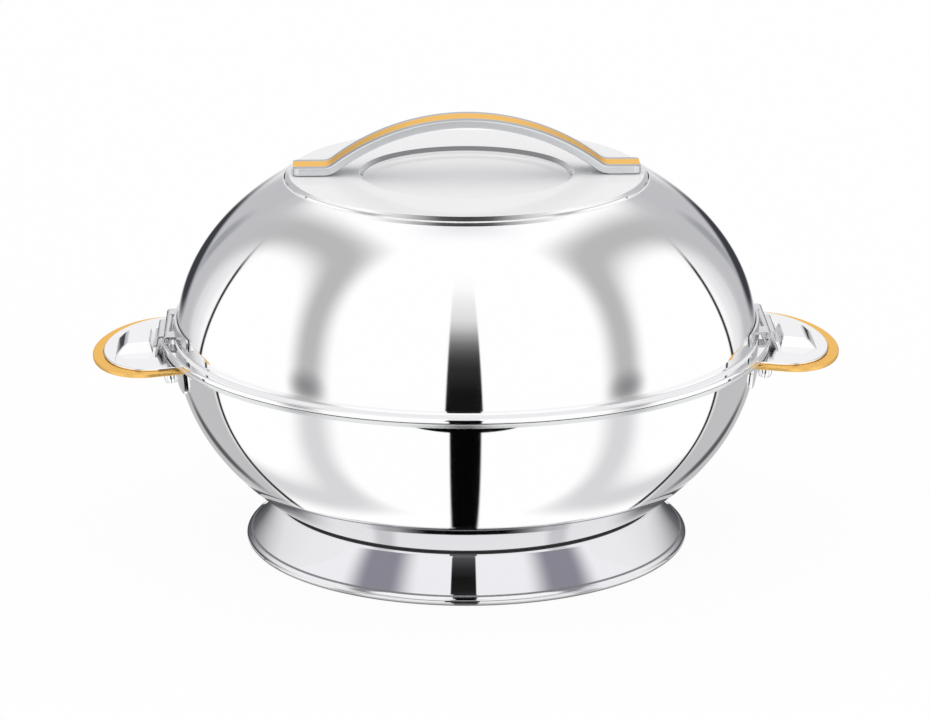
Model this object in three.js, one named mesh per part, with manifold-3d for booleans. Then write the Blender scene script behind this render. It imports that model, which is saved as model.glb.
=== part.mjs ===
// An insulated serving casserole: a double-walled steel bowl on a foot ring, a domed double-walled lid
// with an arched handle, two D-shaped side handles, and a hinged lock clip on each side of the lid.
// Millimetres, +Z up. The origin is on the table under the centre of the bowl; the handles lie along X.
import * as THREE from 'three';
import { mergeVertices } from 'three/addons/utils/BufferGeometryUtils.js';
import Module from 'manifold-3d';

const wasm = await Module();
wasm.setup();

// Sheets, clearances and facets
const shellSheet = 0.7;
const footSheet = 1.0;
const bracketSheet = 1.2;
const seatGap = 0.3;
const runGap = 0.1;
const cutOverrun = 2.0;
const ringSteps = 36;
const roundSteps = 10;
const skinSteps = 5;
const domeSteps = 7;
const linerSteps = 4;
const bendSteps = 2;

// Foot ring
const footHeight = 20.6;
const footSpread = 14.0;
const footBeadSection = 1.6;
const footBeadLip = 2.4;
const footBeadStartDegrees = 65;
const footBeadLipShare = 1.6;
const footFlangeWidth = 13.0;
const footFlareHollow = 1.3;
const footFlareSteps = 2;

// Bowl: both skins are ellipses of revolution, cut off flat at the floor. A floor share is how deep the
// floor lies in its ellipse.
const baseRimHeight = 97.4;
const bowlRadius = 134.6;
const bowlFloorShare = 0.75;
const wallSpace = 13.6;
const floorSpace = 14.7;
const foodFloorShare = 0.816;
const mouthRound = 1.2;
const rimWidth = 6.2;
const baseRimInset = 0.4;
const rimEdgeRound = 0.5;

// Foam filling holes and their plugs
const plugRadius = 7.7;
const plugHeadOverlap = 2.3;
const plugHeadHeight = 0.8;

// Lid: a domed skin with a stepped flat top and a round recess, over a liner
const domeInset = 0.4;
const domeSemiHeight = 93.1;
const topStepRadius = 84.0;
const topStepRise = 2.2;
const topStepRun = 2.8;
const topStepShoulderShare = 0.67;
const recessRadius = 49.2;
const recessDepth = 2.1;
const recessWallRun = 2.2;
const lidTopSpace = 16.7;
const linerTopShare = 0.847;
const linerInset = 3.3;
const skirtDepth = 4.0;
const skirtClearance = 1.2;

// Lid handle: an arched strap with flat feet, studs under the feet, and a strip let into its top
const strapWidth = 17.5;
const strapThickness = 3.8;
const handleEndInset = 4.5;
const handleFootLength = 13.5;
const handleRise = 22.0;
const footBendRadius = 10.0;
const strapCornerRadius = 3.0;
const archSteps = 12;
const inlayWidth = 9.5;
const inlayThickness = 0.7;
const studRadius = 2.0;
const studPastNut = 0.4;
const studNutWall = 1.5;
const studNutHeight = 3.2;
const studNutSides = 6;
const washerWidth = 3.0;
const washerThickness = 0.8;
const nutPocketMargin = 1.0;

// Side handles: a steel plate seated in a gilt band, both sloping down to the tip
const handleSlope = THREE.MathUtils.degToRad(5.3);
const handleRootGap = 0.4;
const bandReach = 38.2;
const bandHalfWidth = 46.3;
const bandCurveLength = 29.2;
const bandThickness = 1.8;
const bandTipWidth = 5.1;
const bandSideWidth = 3.8;
const bandLedgeWidth = 2.5;
const bandEdgeRound = 0.6;
const plateCurveInset = 1.6;
const plateThickness = 1.5;
const plateProud = 1.0;
const plateEdgeRound = 0.5;
const rimToPlate = 0.8;
const outlineSteps = 12;

// Catch raised on each side handle's plate, just outside the clip's toe
const toeToCatch = 0.4;
const catchHeight = 4.2;
const catchInnerLean = 1.2;
const catchTopLength = 11.2;
const catchOuterLean = 4.6;
const catchEndLean = 3.0;
const catchWall = 1.2;

// Bracket that holds each side handle, its bolts and its cap nuts
const saddleClearance = 0.5;
const saddleHeight = 15.3;
const saddleCorner = 9.0;
const shelfInset = 1.5;
const shelfReach = 11.0;
const boltFromShelfEnd = 3.6;
const boltRadius = 2.0;
const boltHeadHeight = 1.2;
const capNutWall = 1.3;
const capNutHeight = 6.8;
const capNutBlind = 1.6;

// Lock clip: a strap on the lid with two eyes, a pin, and a flap that dips behind the catch
const pinRadius = 0.85;
const curlWall = 0.75;
const curlGap = 0.6;
const pinEnd = 0.6;
const eyeLength = 9.5;
const eyeWebThickness = 1.2;
const clipStrapHalfWidth = 43.0;
const clipStrapHeight = 6.0;
const clipStrapLift = 1.5;
const clipStrapCorner = 2.4;
const clipWidth = 28.0;
const clipSheet = 1.0;
const clipOverRim = 1.3;
const clipDipRun = 0.8;
const clipToeLength = 1.4;
const clipBendRadius = 1.1;
const toeAbovePlate = 2.0;

// Bowl sizes that follow from those above
const bowlFloorHeight = footHeight + seatGap;
const bowlFlangeTop = baseRimHeight - shellSheet - seatGap;
const bowlWidestHeight = bowlFlangeTop - shellSheet;
const bowlSemiHeight = (bowlWidestHeight - bowlFloorHeight) / bowlFloorShare;
const bowlFloorRadius = bowlRadius * ellipseShare(bowlFloorShare);
const bowlMouthRadius = bowlRadius - wallSpace;
const foodFloorHeight = bowlFloorHeight + floorSpace;
const foodWallTop = baseRimHeight - mouthRound;
const foodSemiHeight = (foodWallTop - foodFloorHeight) / foodFloorShare;
const rimRadius = bowlRadius + rimWidth;
const baseRimRadius = rimRadius - baseRimInset;
const baseHemHeight = bowlWidestHeight - seatGap;

// Lid sizes that follow
const domeRadius = bowlRadius - domeInset;
const lidHemHeight = baseRimHeight + seatGap;
const linerFlangeHeight = lidHemHeight + seatGap;
const domeFlangeHeight = linerFlangeHeight + shellSheet + seatGap;
const lidRimHeight = domeFlangeHeight + shellSheet;
const domeStepHeight = lidRimHeight + domeSemiHeight * ellipseShare(topStepRadius / domeRadius);
const lidTopHeight = domeStepHeight + topStepRise;
const recessFloorHeight = lidTopHeight - recessDepth;
const skirtRadius = bowlMouthRadius - skirtClearance;
const linerRadius = skirtRadius - linerInset;
const linerTopHeight = domeStepHeight - lidTopSpace;
const linerSemiHeight = (linerTopHeight - lidRimHeight) / linerTopShare;

// Lid handle sizes that follow; the arch and its two bends touch each other and the flat feet
const handleHalfLength = topStepRadius - handleEndInset;
const handleFootHeight = lidTopHeight + seatGap;
const archHalfSpan = handleHalfLength - handleFootLength;
const archRadius = (archHalfSpan ** 2 + handleRise ** 2) / (2 * handleRise) - footBendRadius;
const washerRadius = studRadius + washerWidth;
const washerTop = lidTopHeight - shellSheet - seatGap;
const studNutTop = washerTop - washerThickness - seatGap;
const studLow = studNutTop - studNutHeight - studPastNut;

// Side handle and clip sizes that follow
const handleRootX = bowlRadius + handleRootGap;
const handleRootHeight = baseHemHeight - rimToPlate - plateProud;
const plateHalfWidth = bandHalfWidth - bandSideWidth;
const plateReach = bandReach - bandTipWidth;
const plateCurveLength = bandCurveLength - plateCurveInset;
const plateLow = plateProud - plateThickness;
const curlRadius = pinRadius + runGap + curlWall;
const hingeX = domeRadius + seatGap + clipSheet + curlGap + curlRadius;
const hingeZ = lidRimHeight + seatGap + curlRadius;
const clipHalf = clipWidth / 2;
const clipPlateauEnd = rimRadius + clipOverRim;
const clipToeEnd = clipPlateauEnd + clipDipRun + clipToeLength;
const catchInner = clipToeEnd + toeToCatch - handleRootX;
const saddleHalfWidth = plateHalfWidth - bandLedgeWidth - saddleClearance;
const shelfHalfWidth = saddleHalfWidth - shelfInset;
const boltHeadRadius = boltRadius + boltHeadHeight;
const capNutRadius = boltRadius + capNutWall;
const capNutTop = plateLow - seatGap - bracketSheet - seatGap;
const boltY = shelfHalfWidth - boltFromShelfEnd;
const boltRing = bowlRadius + seatGap + bracketSheet + seatGap + capNutRadius;
const boltX = Math.sqrt(boltRing ** 2 - boltY ** 2) - handleRootX + capNutHeight * Math.sin(handleSlope);

// Finishes
const polishedSteel = steel(0xd9dadb, 0.08);
const satinSteel = steel(0xc6c7c8, 0.3);
const giltBand = new THREE.MeshStandardMaterial({ color: 0xf2b95c, roughness: 0.35, metalness: 0.7 });
const foam = new THREE.MeshStandardMaterial({ color: 0xe9dfb9, roughness: 0.95, metalness: 0 });
const plugPlastic = new THREE.MeshStandardMaterial({ color: 0x2b2b2d, roughness: 0.6, metalness: 0 });

function steel(color, roughness) {
  return new THREE.MeshStandardMaterial({ color, roughness, metalness: 1 });
}

// Height of a unit ellipse at a share of its half width, or its half width at a share of its height.
function ellipseShare(share) {
  return Math.sqrt(1 - share * share);
}

function pt(r, z) {
  return new THREE.Vector2(r, z);
}

// Points along an ellipse between two heights, evenly spaced in angle.
function ellipseRun(radius, semiHeight, centreZ, fromZ, toZ, steps) {
  const from = Math.asin((fromZ - centreZ) / semiHeight);
  const to = Math.asin((toZ - centreZ) / semiHeight);
  return spread(from, to, steps).map((a) => pt(radius * Math.cos(a), centreZ + semiHeight * Math.sin(a)));
}

function spread(from, to, steps) {
  return Array.from({ length: steps + 1 }, (_, i) => from + (to - from) * i / steps);
}

// Points of a circle's arc; the angles are in degrees from +X or +R.
function arc(centreX, centreZ, radius, fromDegrees, toDegrees, steps = bendSteps) {
  const turn = THREE.MathUtils.degToRad;
  return spread(turn(fromDegrees), turn(toDegrees), steps)
    .map((a) => pt(centreX + radius * Math.cos(a), centreZ + radius * Math.sin(a)));
}

// A path with each inner corner replaced by an arc that touches both of its legs, and fits half of each.
function roundedPath(corners, wantedRadius, steps = bendSteps) {
  const path = [corners[0]];
  for (let i = 1; i < corners.length - 1; i++) {
    const room = Math.min(corners[i].distanceTo(corners[i - 1]), corners[i].distanceTo(corners[i + 1])) / 2;
    const into = corners[i].clone().sub(corners[i - 1]).normalize();
    const out = corners[i + 1].clone().sub(corners[i]).normalize();
    const turn = Math.atan2(into.cross(out), into.dot(out));
    const reach = Math.min(wantedRadius * Math.tan(Math.abs(turn) / 2), room);
    const radius = reach / Math.tan(Math.abs(turn) / 2);
    const start = corners[i].clone().addScaledVector(into, -reach);
    const side = pt(-into.y, into.x).multiplyScalar(Math.sign(turn));
    const centre = start.clone().addScaledVector(side, radius);
    for (const t of spread(0, turn, steps)) {
      path.push(start.clone().rotateAround(centre, t));
    }
  }
  return [...path, corners[corners.length - 1]];
}

// A path moved sideways to its left by a distance, with mitred corners.
function offsetPath(path, distance) {
  const normals = path.slice(1).map((p, i) => {
    const along = p.clone().sub(path[i]).normalize();
    return pt(-along.y, along.x);
  });
  return path.map((p, i) => {
    const before = normals[Math.max(i - 1, 0)];
    const after = normals[Math.min(i, normals.length - 1)];
    const mean = before.clone().add(after).normalize();
    return p.clone().addScaledVector(mean, distance / mean.dot(after));
  });
}

// The outline of a layer between two distances to the left of a path.
function layerOutline(path, right, left) {
  return [...offsetPath(path, right), ...offsetPath(path, left).reverse()];
}

// The outline of bent sheet: one face is the path, and the other lies to the path's left.
function sheetOutline(path, thickness) {
  return layerOutline(path, 0, thickness);
}

function counterClockwise(outline) {
  return THREE.ShapeUtils.area(outline) > 0 ? outline : [...outline].reverse();
}

// A closed three.js geometry as a solid.
function solid(geometry) {
  const bare = geometry.clone();
  bare.deleteAttribute('normal');
  bare.deleteAttribute('uv');
  const merged = mergeVertices(bare);
  const corners = Array.from(merged.index.array);
  const faces = [];
  for (let i = 0; i < corners.length; i += 3) {
    const [a, b, c] = corners.slice(i, i + 3);
    if (a !== b && b !== c && c !== a) {
      faces.push(a, b, c);
    }
  }
  const vertProperties = new Float32Array(merged.attributes.position.array);
  return new wasm.Manifold(new wasm.Mesh({ numProp: 3, vertProperties, triVerts: new Uint32Array(faces) }));
}

// A profile of radius and height turned about the Z axis; one that keeps off the axis closes on itself.
function revolved(outline, steps = ringSteps) {
  const onAxis = outline[0].x === 0 && outline[outline.length - 1].x === 0;
  const profile = counterClockwise(outline);
  return new THREE.LatheGeometry(onAxis ? profile : [...profile, profile[0]], steps).rotateX(Math.PI / 2);
}

function turnedSheet(path, thickness) {
  return solid(revolved(sheetOutline(path, thickness)));
}

// An outline in the X-Y plane raised from one height to another.
function raised(outline, fromZ, toZ) {
  const shape = new THREE.Shape(outline);
  const geometry = new THREE.ExtrudeGeometry(shape, { depth: toZ - fromZ, bevelEnabled: false });
  return geometry.translate(0, 0, fromZ);
}

// An outline in the X-Y plane raised, with its upper or lower edge rounded.
function raisedRound(outline, fromZ, toZ, round, upper) {
  const straight = upper ? raised(outline, fromZ, toZ - round) : raised(outline, fromZ + round, toZ);
  const shape = new THREE.Shape(outline);
  const bevel = { bevelThickness: round, bevelSize: round, bevelOffset: -round, bevelSegments: 1 };
  const rounded = new THREE.ExtrudeGeometry(shape, { depth: toZ - fromZ - 2 * round, ...bevel });
  return solid(straight).add(solid(rounded.translate(0, 0, fromZ + round)));
}

// An outline of X and Z, made as wide as given in Y and centred on the X-Z plane.
function acrossY(outline, width) {
  const shape = new THREE.Shape(counterClockwise(outline));
  const geometry = new THREE.ExtrudeGeometry(shape, { depth: width, bevelEnabled: false });
  return geometry.translate(0, 0, -width / 2).rotateX(Math.PI / 2);
}

// An outline of Y and Z, drawn out along X.
function alongX(outline, fromX, toX) {
  return raised(counterClockwise(outline), fromX, toX).rotateX(Math.PI / 2).rotateZ(Math.PI / 2);
}

// A round bar along Y between two places.
function barY(radius, fromY, toY, x, z, steps = roundSteps) {
  const bar = new THREE.CylinderGeometry(radius, radius, toY - fromY, steps);
  return bar.translate(x, (fromY + toY) / 2, z);
}

// A round bar standing on a point.
function barZ(radius, fromZ, toZ, x, y, steps = roundSteps) {
  const bar = new THREE.CylinderGeometry(radius, radius, toZ - fromZ, steps).rotateX(Math.PI / 2);
  return bar.translate(x, y, (fromZ + toZ) / 2);
}

function roundedRectangle(halfWidth, low, high, wantedCorner) {
  const corner = Math.min(wantedCorner, halfWidth, (high - low) / 2);
  const shape = new THREE.Shape();
  shape.moveTo(halfWidth - corner, low);
  shape.absarc(halfWidth - corner, low + corner, corner, -Math.PI / 2, 0);
  shape.absarc(halfWidth - corner, high - corner, corner, 0, Math.PI / 2);
  shape.absarc(corner - halfWidth, high - corner, corner, Math.PI / 2, Math.PI);
  shape.absarc(corner - halfWidth, low + corner, corner, Math.PI, Math.PI * 1.5);
  return shape.getPoints(bendSteps);
}

function piece(name, body, material, parent) {
  const made = body instanceof wasm.Manifold ? body : solid(body);
  const { vertProperties, triVerts } = made.getMesh();
  const geometry = new THREE.BufferGeometry();
  geometry.setAttribute('position', new THREE.BufferAttribute(vertProperties, 3));
  geometry.setIndex(new THREE.BufferAttribute(triVerts, 1));
  geometry.computeVertexNormals();
  const mesh = new THREE.Mesh(geometry, material);
  mesh.name = name;
  parent.add(mesh);
  return mesh;
}

// Foot ring: a flange under the bowl, a slightly hollow flare and a rolled bead that stands on the table.
function footRing() {
  const beadCentreR = bowlFloorRadius + footSpread - footBeadSection;
  const flareTop = pt(bowlFloorRadius, footHeight - footSheet / 2);
  const bead = arc(beadCentreR, footBeadSection, footBeadSection, footBeadStartDegrees, -90, 2 * bendSteps);
  const flare = spread(0, 1, footFlareSteps).map((t) => {
    const hollow = 4 * t * (1 - t) * footFlareHollow;
    return flareTop.clone().lerp(bead[0], t).sub(pt(hollow, hollow));
  });
  const lipR = beadCentreR - footBeadSection * footBeadLipShare;
  const path = [
    pt(bowlFloorRadius - footFlangeWidth, footHeight),
    pt(bowlFloorRadius - footSheet, footHeight),
    ...flare.slice(0, -1),
    ...bead,
    pt(lipR, 0),
    pt(lipR, footBeadLip),
  ];
  return turnedSheet(path, -footSheet);
}

// Outer face of the bowl's outer skin, from its floor's edge up to its neck.
function bowlSkinRun() {
  return ellipseRun(bowlRadius, bowlSemiHeight, bowlWidestHeight, bowlFloorHeight,
    bowlWidestHeight - shellSheet, skinSteps);
}

// Inner face of the bowl's inner skin, from its floor's edge up to its mouth.
function foodSkinRun() {
  return ellipseRun(bowlMouthRadius, foodSemiHeight, foodWallTop, foodFloorHeight, foodWallTop, linerSteps);
}

// Outer skin of the bowl, from the filling hole in its floor up to its flange.
function bowlOuterShell() {
  const path = [
    pt(plugRadius + seatGap, bowlFloorHeight),
    ...bowlSkinRun(),
    pt(bowlRadius + shellSheet, bowlWidestHeight),
    pt(baseRimRadius - shellSheet - 2 * seatGap, bowlWidestHeight),
  ];
  return turnedSheet(path, shellSheet);
}

// Inner skin of the bowl; its flange covers the outer skin's and is turned down round its edge.
function bowlInnerShell() {
  const path = [
    pt(0, foodFloorHeight),
    ...foodSkinRun(),
    pt(bowlMouthRadius + mouthRound, baseRimHeight),
    pt(baseRimRadius - rimEdgeRound, baseRimHeight),
    pt(baseRimRadius, baseRimHeight - rimEdgeRound),
    pt(baseRimRadius, baseHemHeight),
  ];
  return turnedSheet(path, -shellSheet);
}

// Foam between the bowl's two skins.
function bowlFoam() {
  const inset = shellSheet + seatGap;
  const foamTop = baseRimHeight - inset - seatGap;
  const outer = offsetPath([pt(0, bowlFloorHeight), ...bowlSkinRun()], inset);
  const inner = offsetPath([pt(0, foodFloorHeight), ...foodSkinRun().slice(0, -1)], -inset);
  return solid(revolved([
    ...outer,
    pt(bowlRadius - inset, foamTop),
    pt(bowlMouthRadius + inset + mouthRound, foamTop),
    ...inner.reverse(),
  ]));
}

// Plug of a filling hole: a flat head outside the skin, and a stem as long as the skin is thick.
function fillPlug(faceHeight) {
  const headTop = faceHeight - seatGap;
  return solid(revolved([
    pt(0, headTop - plugHeadHeight),
    pt(plugRadius + plugHeadOverlap, headTop - plugHeadHeight),
    pt(plugRadius + plugHeadOverlap, headTop),
    pt(plugRadius, headTop),
    pt(plugRadius, faceHeight + shellSheet),
    pt(0, faceHeight + shellSheet),
  ], roundSteps));
}

// Outer face of the lid's dome, from its stepped top down to its neck.
function domeSkinRun() {
  return ellipseRun(domeRadius, domeSemiHeight, lidRimHeight, domeStepHeight,
    lidRimHeight + shellSheet, domeSteps);
}

// Inner face of the lid's liner, from its flat top's edge down to the rim.
function linerSkinRun() {
  return ellipseRun(linerRadius, linerSemiHeight, lidRimHeight, linerTopHeight, lidRimHeight, linerSteps);
}

// The lid skin's flat top with its recess and stepped edge.
function lidTopRun() {
  return [
    pt(0, recessFloorHeight),
    pt(recessRadius - recessWallRun, recessFloorHeight),
    pt(recessRadius, lidTopHeight),
    pt(topStepRadius - topStepRun, lidTopHeight),
  ];
}

// Lid skin: recess, flat top, stepped edge, dome and flange with its edge turned down.
function lidDome() {
  const path = [
    ...lidTopRun(),
    pt(topStepRadius - topStepRun * (1 - topStepShoulderShare), lidTopHeight - topStepRise / 2),
    ...domeSkinRun(),
    pt(domeRadius + shellSheet, lidRimHeight),
    pt(rimRadius - rimEdgeRound, lidRimHeight),
    pt(rimRadius, lidRimHeight - rimEdgeRound),
    pt(rimRadius, lidHemHeight),
  ];
  const holeTop = lidTopHeight + cutOverrun;
  const holes = studPlaces().map((x) => solid(barZ(studRadius + seatGap, recessFloorHeight, holeTop, x, 0)));
  return holes.reduce((body, hole) => body.subtract(hole), turnedSheet(path, -shellSheet));
}

// Lid liner: its flange closes the lid's rim, and a drawn skirt drops into the bowl's mouth.
function lidLiner() {
  const skirtHeight = baseRimHeight - skirtDepth;
  const path = [
    pt(plugRadius + seatGap, linerTopHeight),
    ...linerSkinRun(),
    pt(linerRadius, skirtHeight),
    pt(skirtRadius, skirtHeight),
    pt(skirtRadius, linerFlangeHeight),
    pt(rimRadius - shellSheet - 2 * seatGap, linerFlangeHeight),
  ];
  return turnedSheet(path, shellSheet);
}

// Foam between the lid's two skins, with a pocket round each handle nut.
function lidFoam() {
  const inset = shellSheet + seatGap;
  const foamFoot = domeFlangeHeight + shellSheet;
  const outer = offsetPath([...lidTopRun(), ...domeSkinRun()], -inset);
  const inner = offsetPath([pt(0, linerTopHeight), ...linerSkinRun()], inset);
  const bulk = solid(revolved([
    ...outer,
    pt(domeRadius - inset, foamFoot),
    ...inner.reverse(),
  ]));
  const pockets = studPlaces().map((x) => solid(barZ(washerRadius + nutPocketMargin,
    studLow - nutPocketMargin, lidTopHeight, x, 0)));
  return pockets.reduce((body, pocket) => body.subtract(pocket), bulk);
}

// A stud stands under the middle of each foot of the lid handle.
function studPlaces() {
  const reach = handleHalfLength - handleFootLength / 2;
  return [-reach, reach];
}

// Middle line of the arched strap in X and Z: foot, bend, arch, bend, foot.
function strapPath() {
  const footZ = handleFootHeight + strapThickness / 2;
  const archCentreZ = footZ + handleRise - archRadius;
  const bendCentreZ = footZ + footBendRadius;
  const lean = THREE.MathUtils.radToDeg(Math.atan2(bendCentreZ - archCentreZ, archHalfSpan));
  const arch = arc(0, archCentreZ, archRadius, 180 - lean, lean, archSteps);
  return [
    pt(-handleHalfLength, footZ),
    ...arc(-archHalfSpan, bendCentreZ, footBendRadius, -90, -lean),
    ...arch.slice(1, -1),
    ...arc(archHalfSpan, bendCentreZ, footBendRadius, 180 + lean, 270),
    pt(handleHalfLength, footZ),
  ];
}

// A layer of the strap between two distances above its middle line.
function strapLayer(below, above, width) {
  return solid(acrossY(layerOutline(strapPath(), below, above), width));
}

// The strap's plan with its rounded corners, drawn in by a margin and raised past the whole handle.
function strapPlan(margin) {
  const halfWidth = strapWidth / 2 - margin;
  const corner = strapCornerRadius - margin;
  const outline = roundedRectangle(handleHalfLength - margin, -halfWidth, halfWidth, corner);
  return solid(raised(outline, lidTopHeight, handleFootHeight + handleRise + strapThickness + cutOverrun));
}

function lidHandle() {
  const half = strapThickness / 2;
  const grooveDepth = inlayThickness + seatGap;
  const strap = strapLayer(-half, half, strapWidth).intersect(strapPlan(0));
  const groove = strapLayer(half - grooveDepth, half + cutOverrun, inlayWidth + 2 * seatGap);
  const studs = studPlaces().map((x) => solid(barZ(studRadius, studLow, handleFootHeight + half, x, 0)));
  return studs.reduce((body, stud) => body.add(stud), strap.subtract(groove));
}

function handleInlay() {
  const half = strapThickness / 2;
  return strapLayer(half - inlayThickness, half, inlayWidth).intersect(strapPlan(runGap));
}

// The clear hole for a stud through its washer and its nut.
function studBore(x) {
  return solid(barZ(studRadius + runGap, studLow - cutOverrun, lidTopHeight + cutOverrun, x, 0));
}

function washer(x) {
  return solid(barZ(washerRadius, washerTop - washerThickness, washerTop, x, 0)).subtract(studBore(x));
}

function nut(x) {
  const corner = (studRadius + studNutWall) / Math.cos(Math.PI / studNutSides);
  const hexagon = barZ(corner, studNutTop - studNutHeight, studNutTop, x, 0, studNutSides);
  return solid(hexagon).subtract(studBore(x));
}

// The D outline of a side handle: straight sides from inside the wall, then half an ellipse at the tip.
function handleOutline(tipX, halfWidth, curveLength, rootX = -bandHalfWidth / 2) {
  const centreX = tipX - curveLength;
  const tip = spread(-Math.PI / 2, Math.PI / 2, outlineSteps)
    .map((a) => pt(centreX + curveLength * Math.cos(a), halfWidth * Math.sin(a)));
  return [pt(rootX, -halfWidth), ...tip, pt(rootX, halfWidth)];
}

function plateOutline(inset) {
  return handleOutline(plateReach - inset, plateHalfWidth - inset, plateCurveLength - inset);
}

// Moves a solid from the sloping handle's own frame, where Z 0 is the band's top face, to its place.
function placed(body) {
  const tilt = new THREE.Matrix4().makeRotationY(handleSlope);
  tilt.setPosition(handleRootX, 0, handleRootHeight);
  return body.transform(tilt.toArray());
}

// The bowl's outer skin and what stands above it, as a solid that pieces outside it keep clear of.
function bowlKeepOut(clearance) {
  const top = lidRimHeight + domeSemiHeight / 2;
  return solid(revolved([
    pt(0, bowlFloorHeight),
    ...offsetPath(bowlSkinRun(), -clearance),
    pt(bowlRadius + clearance, bowlWidestHeight),
    pt(bowlRadius + clearance, top),
    pt(0, top),
  ]));
}

// Height of the sloping plate's top face at a distance out along X.
function plateTopAt(x) {
  return handleRootHeight + plateProud / Math.cos(handleSlope) - (x - handleRootX) * Math.tan(handleSlope);
}

// Countersunk bolts stand at these places across the handle.
function boltPlaces() {
  return [-boltY, boltY];
}

function boltProfile(clearance) {
  const top = plateProud + (clearance ? cutOverrun : 0);
  const shank = boltRadius + clearance;
  const head = boltHeadRadius + clearance;
  return [
    pt(0, top),
    pt(head, top),
    pt(head, plateProud - clearance),
    pt(shank, plateProud - boltHeadHeight - clearance),
    pt(shank, -boltLength()),
    pt(0, -boltLength()),
  ];
}

// How far a bolt reaches below the band's top face: short of its cap nut's blind end.
function boltLength() {
  return capNutHeight - capNutBlind - seatGap - capNutTop;
}

function bolt(y, clearance = 0) {
  return placed(solid(revolved(boltProfile(clearance), roundSteps).translate(boltX, y, 0)));
}

// Cap nut: a round body with a domed end, screwed up against the bracket.
function capNut(y) {
  const low = capNutTop - capNutHeight;
  const domed = arc(0, low + capNutRadius, capNutRadius, -90, 0);
  const blank = solid(revolved([...domed, pt(capNutRadius, capNutTop), pt(0, capNutTop)], roundSteps));
  const bore = solid(barZ(boltRadius + runGap, low + capNutBlind, capNutTop + cutOverrun, 0, 0));
  return placed(blank.subtract(bore).translate([boltX, y, 0]));
}

// The room between the catch's two ends, which lean towards each other, and between them drawn in.
function catchEnds(inset) {
  const half = clipHalf - inset;
  const low = plateLow - cutOverrun;
  const top = plateProud + catchHeight;
  return solid(alongX([
    pt(-half, low),
    pt(half, low),
    pt(half, plateProud),
    pt(half - catchEndLean, top),
    pt(catchEndLean - half, top),
    pt(-half, plateProud),
  ], 0, plateReach));
}

// Side handle plate: a D plate with the hollow catch raised on it and its bolt holes.
function handlePlate() {
  const plate = raisedRound(plateOutline(0), plateLow, plateProud, plateEdgeRound, true);
  const top = plateProud + catchHeight;
  const topInner = catchInner + catchInnerLean;
  const topOuter = topInner + catchTopLength;
  const catchOuter = topOuter + catchOuterLean;
  const lump = solid(acrossY([
    pt(catchInner, plateLow + plateEdgeRound),
    pt(catchInner, plateProud),
    pt(topInner, top),
    pt(topOuter, top),
    pt(catchOuter, plateProud),
    pt(catchOuter, plateLow + plateEdgeRound),
  ], clipWidth)).intersect(catchEnds(0));
  const hollow = solid(acrossY([
    pt(catchInner + catchWall, plateLow - cutOverrun),
    pt(catchInner + catchWall, plateProud),
    pt(topInner + catchWall, top - catchWall),
    pt(topOuter, top - catchWall),
    pt(catchOuter - catchWall, plateProud - catchWall),
    pt(catchOuter - catchWall, plateLow - cutOverrun),
  ], clipWidth)).intersect(catchEnds(catchWall));
  const whole = placed(plate.add(lump).subtract(hollow)).subtract(bowlKeepOut(seatGap));
  return boltPlaces().reduce((body, y) => body.subtract(bolt(y, runGap)), whole);
}

// Gilt band: an L-shaped frame round the plate, whose inner ledge carries it.
function handleBand() {
  const outline = handleOutline(bandReach, bandHalfWidth, bandCurveLength);
  const blank = raisedRound(outline, -bandThickness, 0, bandEdgeRound, false);
  const seat = solid(raised(plateOutline(-seatGap), plateLow - seatGap, cutOverrun));
  const hole = solid(raised(plateOutline(bandLedgeWidth), -bandThickness - cutOverrun, cutOverrun));
  return placed(blank.subtract(seat).subtract(hole)).subtract(bowlKeepOut(seatGap));
}

// Bracket: a saddle against the bowl and a shelf under the plate, bent from one sheet.
function handleBracket() {
  const shelfTop = plateLow - seatGap;
  const shelfPlan = [
    pt(-shelfReach, -shelfHalfWidth),
    pt(shelfReach - saddleCorner, -shelfHalfWidth),
    pt(shelfReach, saddleCorner - shelfHalfWidth),
    pt(shelfReach, shelfHalfWidth - saddleCorner),
    pt(shelfReach - saddleCorner, shelfHalfWidth),
    pt(-shelfReach, shelfHalfWidth),
  ];
  const shelf = placed(solid(raised(shelfPlan, shelfTop - bracketSheet, shelfTop)));
  const saddleTop = handleRootHeight + shelfTop + bracketSheet;
  const saddleLow = saddleTop - saddleHeight;
  const saddleFace = roundedRectangle(saddleHalfWidth, saddleLow, saddleTop + saddleCorner, saddleCorner);
  const window = solid(alongX(saddleFace, handleRootX / 2, handleRootX + shelfReach));
  const ring = bowlKeepOut(seatGap + bracketSheet);
  const above = placed(solid(raised(handleOutline(bandReach, bandHalfWidth, bandCurveLength, -bandHalfWidth),
    shelfTop, bandReach)));
  const saddle = ring.intersect(window).subtract(above);
  const bare = saddle.add(shelf).subtract(bowlKeepOut(seatGap));
  return boltPlaces().reduce((body, y) => body.subtract(bolt(y, runGap)), bare);
}

// Dome skin as a solid that the clip's strap keeps clear of.
function domeKeepOut(clearance) {
  return solid(revolved([
    pt(0, lidRimHeight - cutOverrun),
    pt(domeRadius + clearance, lidRimHeight - cutOverrun),
    ...offsetPath(domeSkinRun(), clearance).reverse(),
    pt(0, domeStepHeight),
  ]));
}

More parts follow.
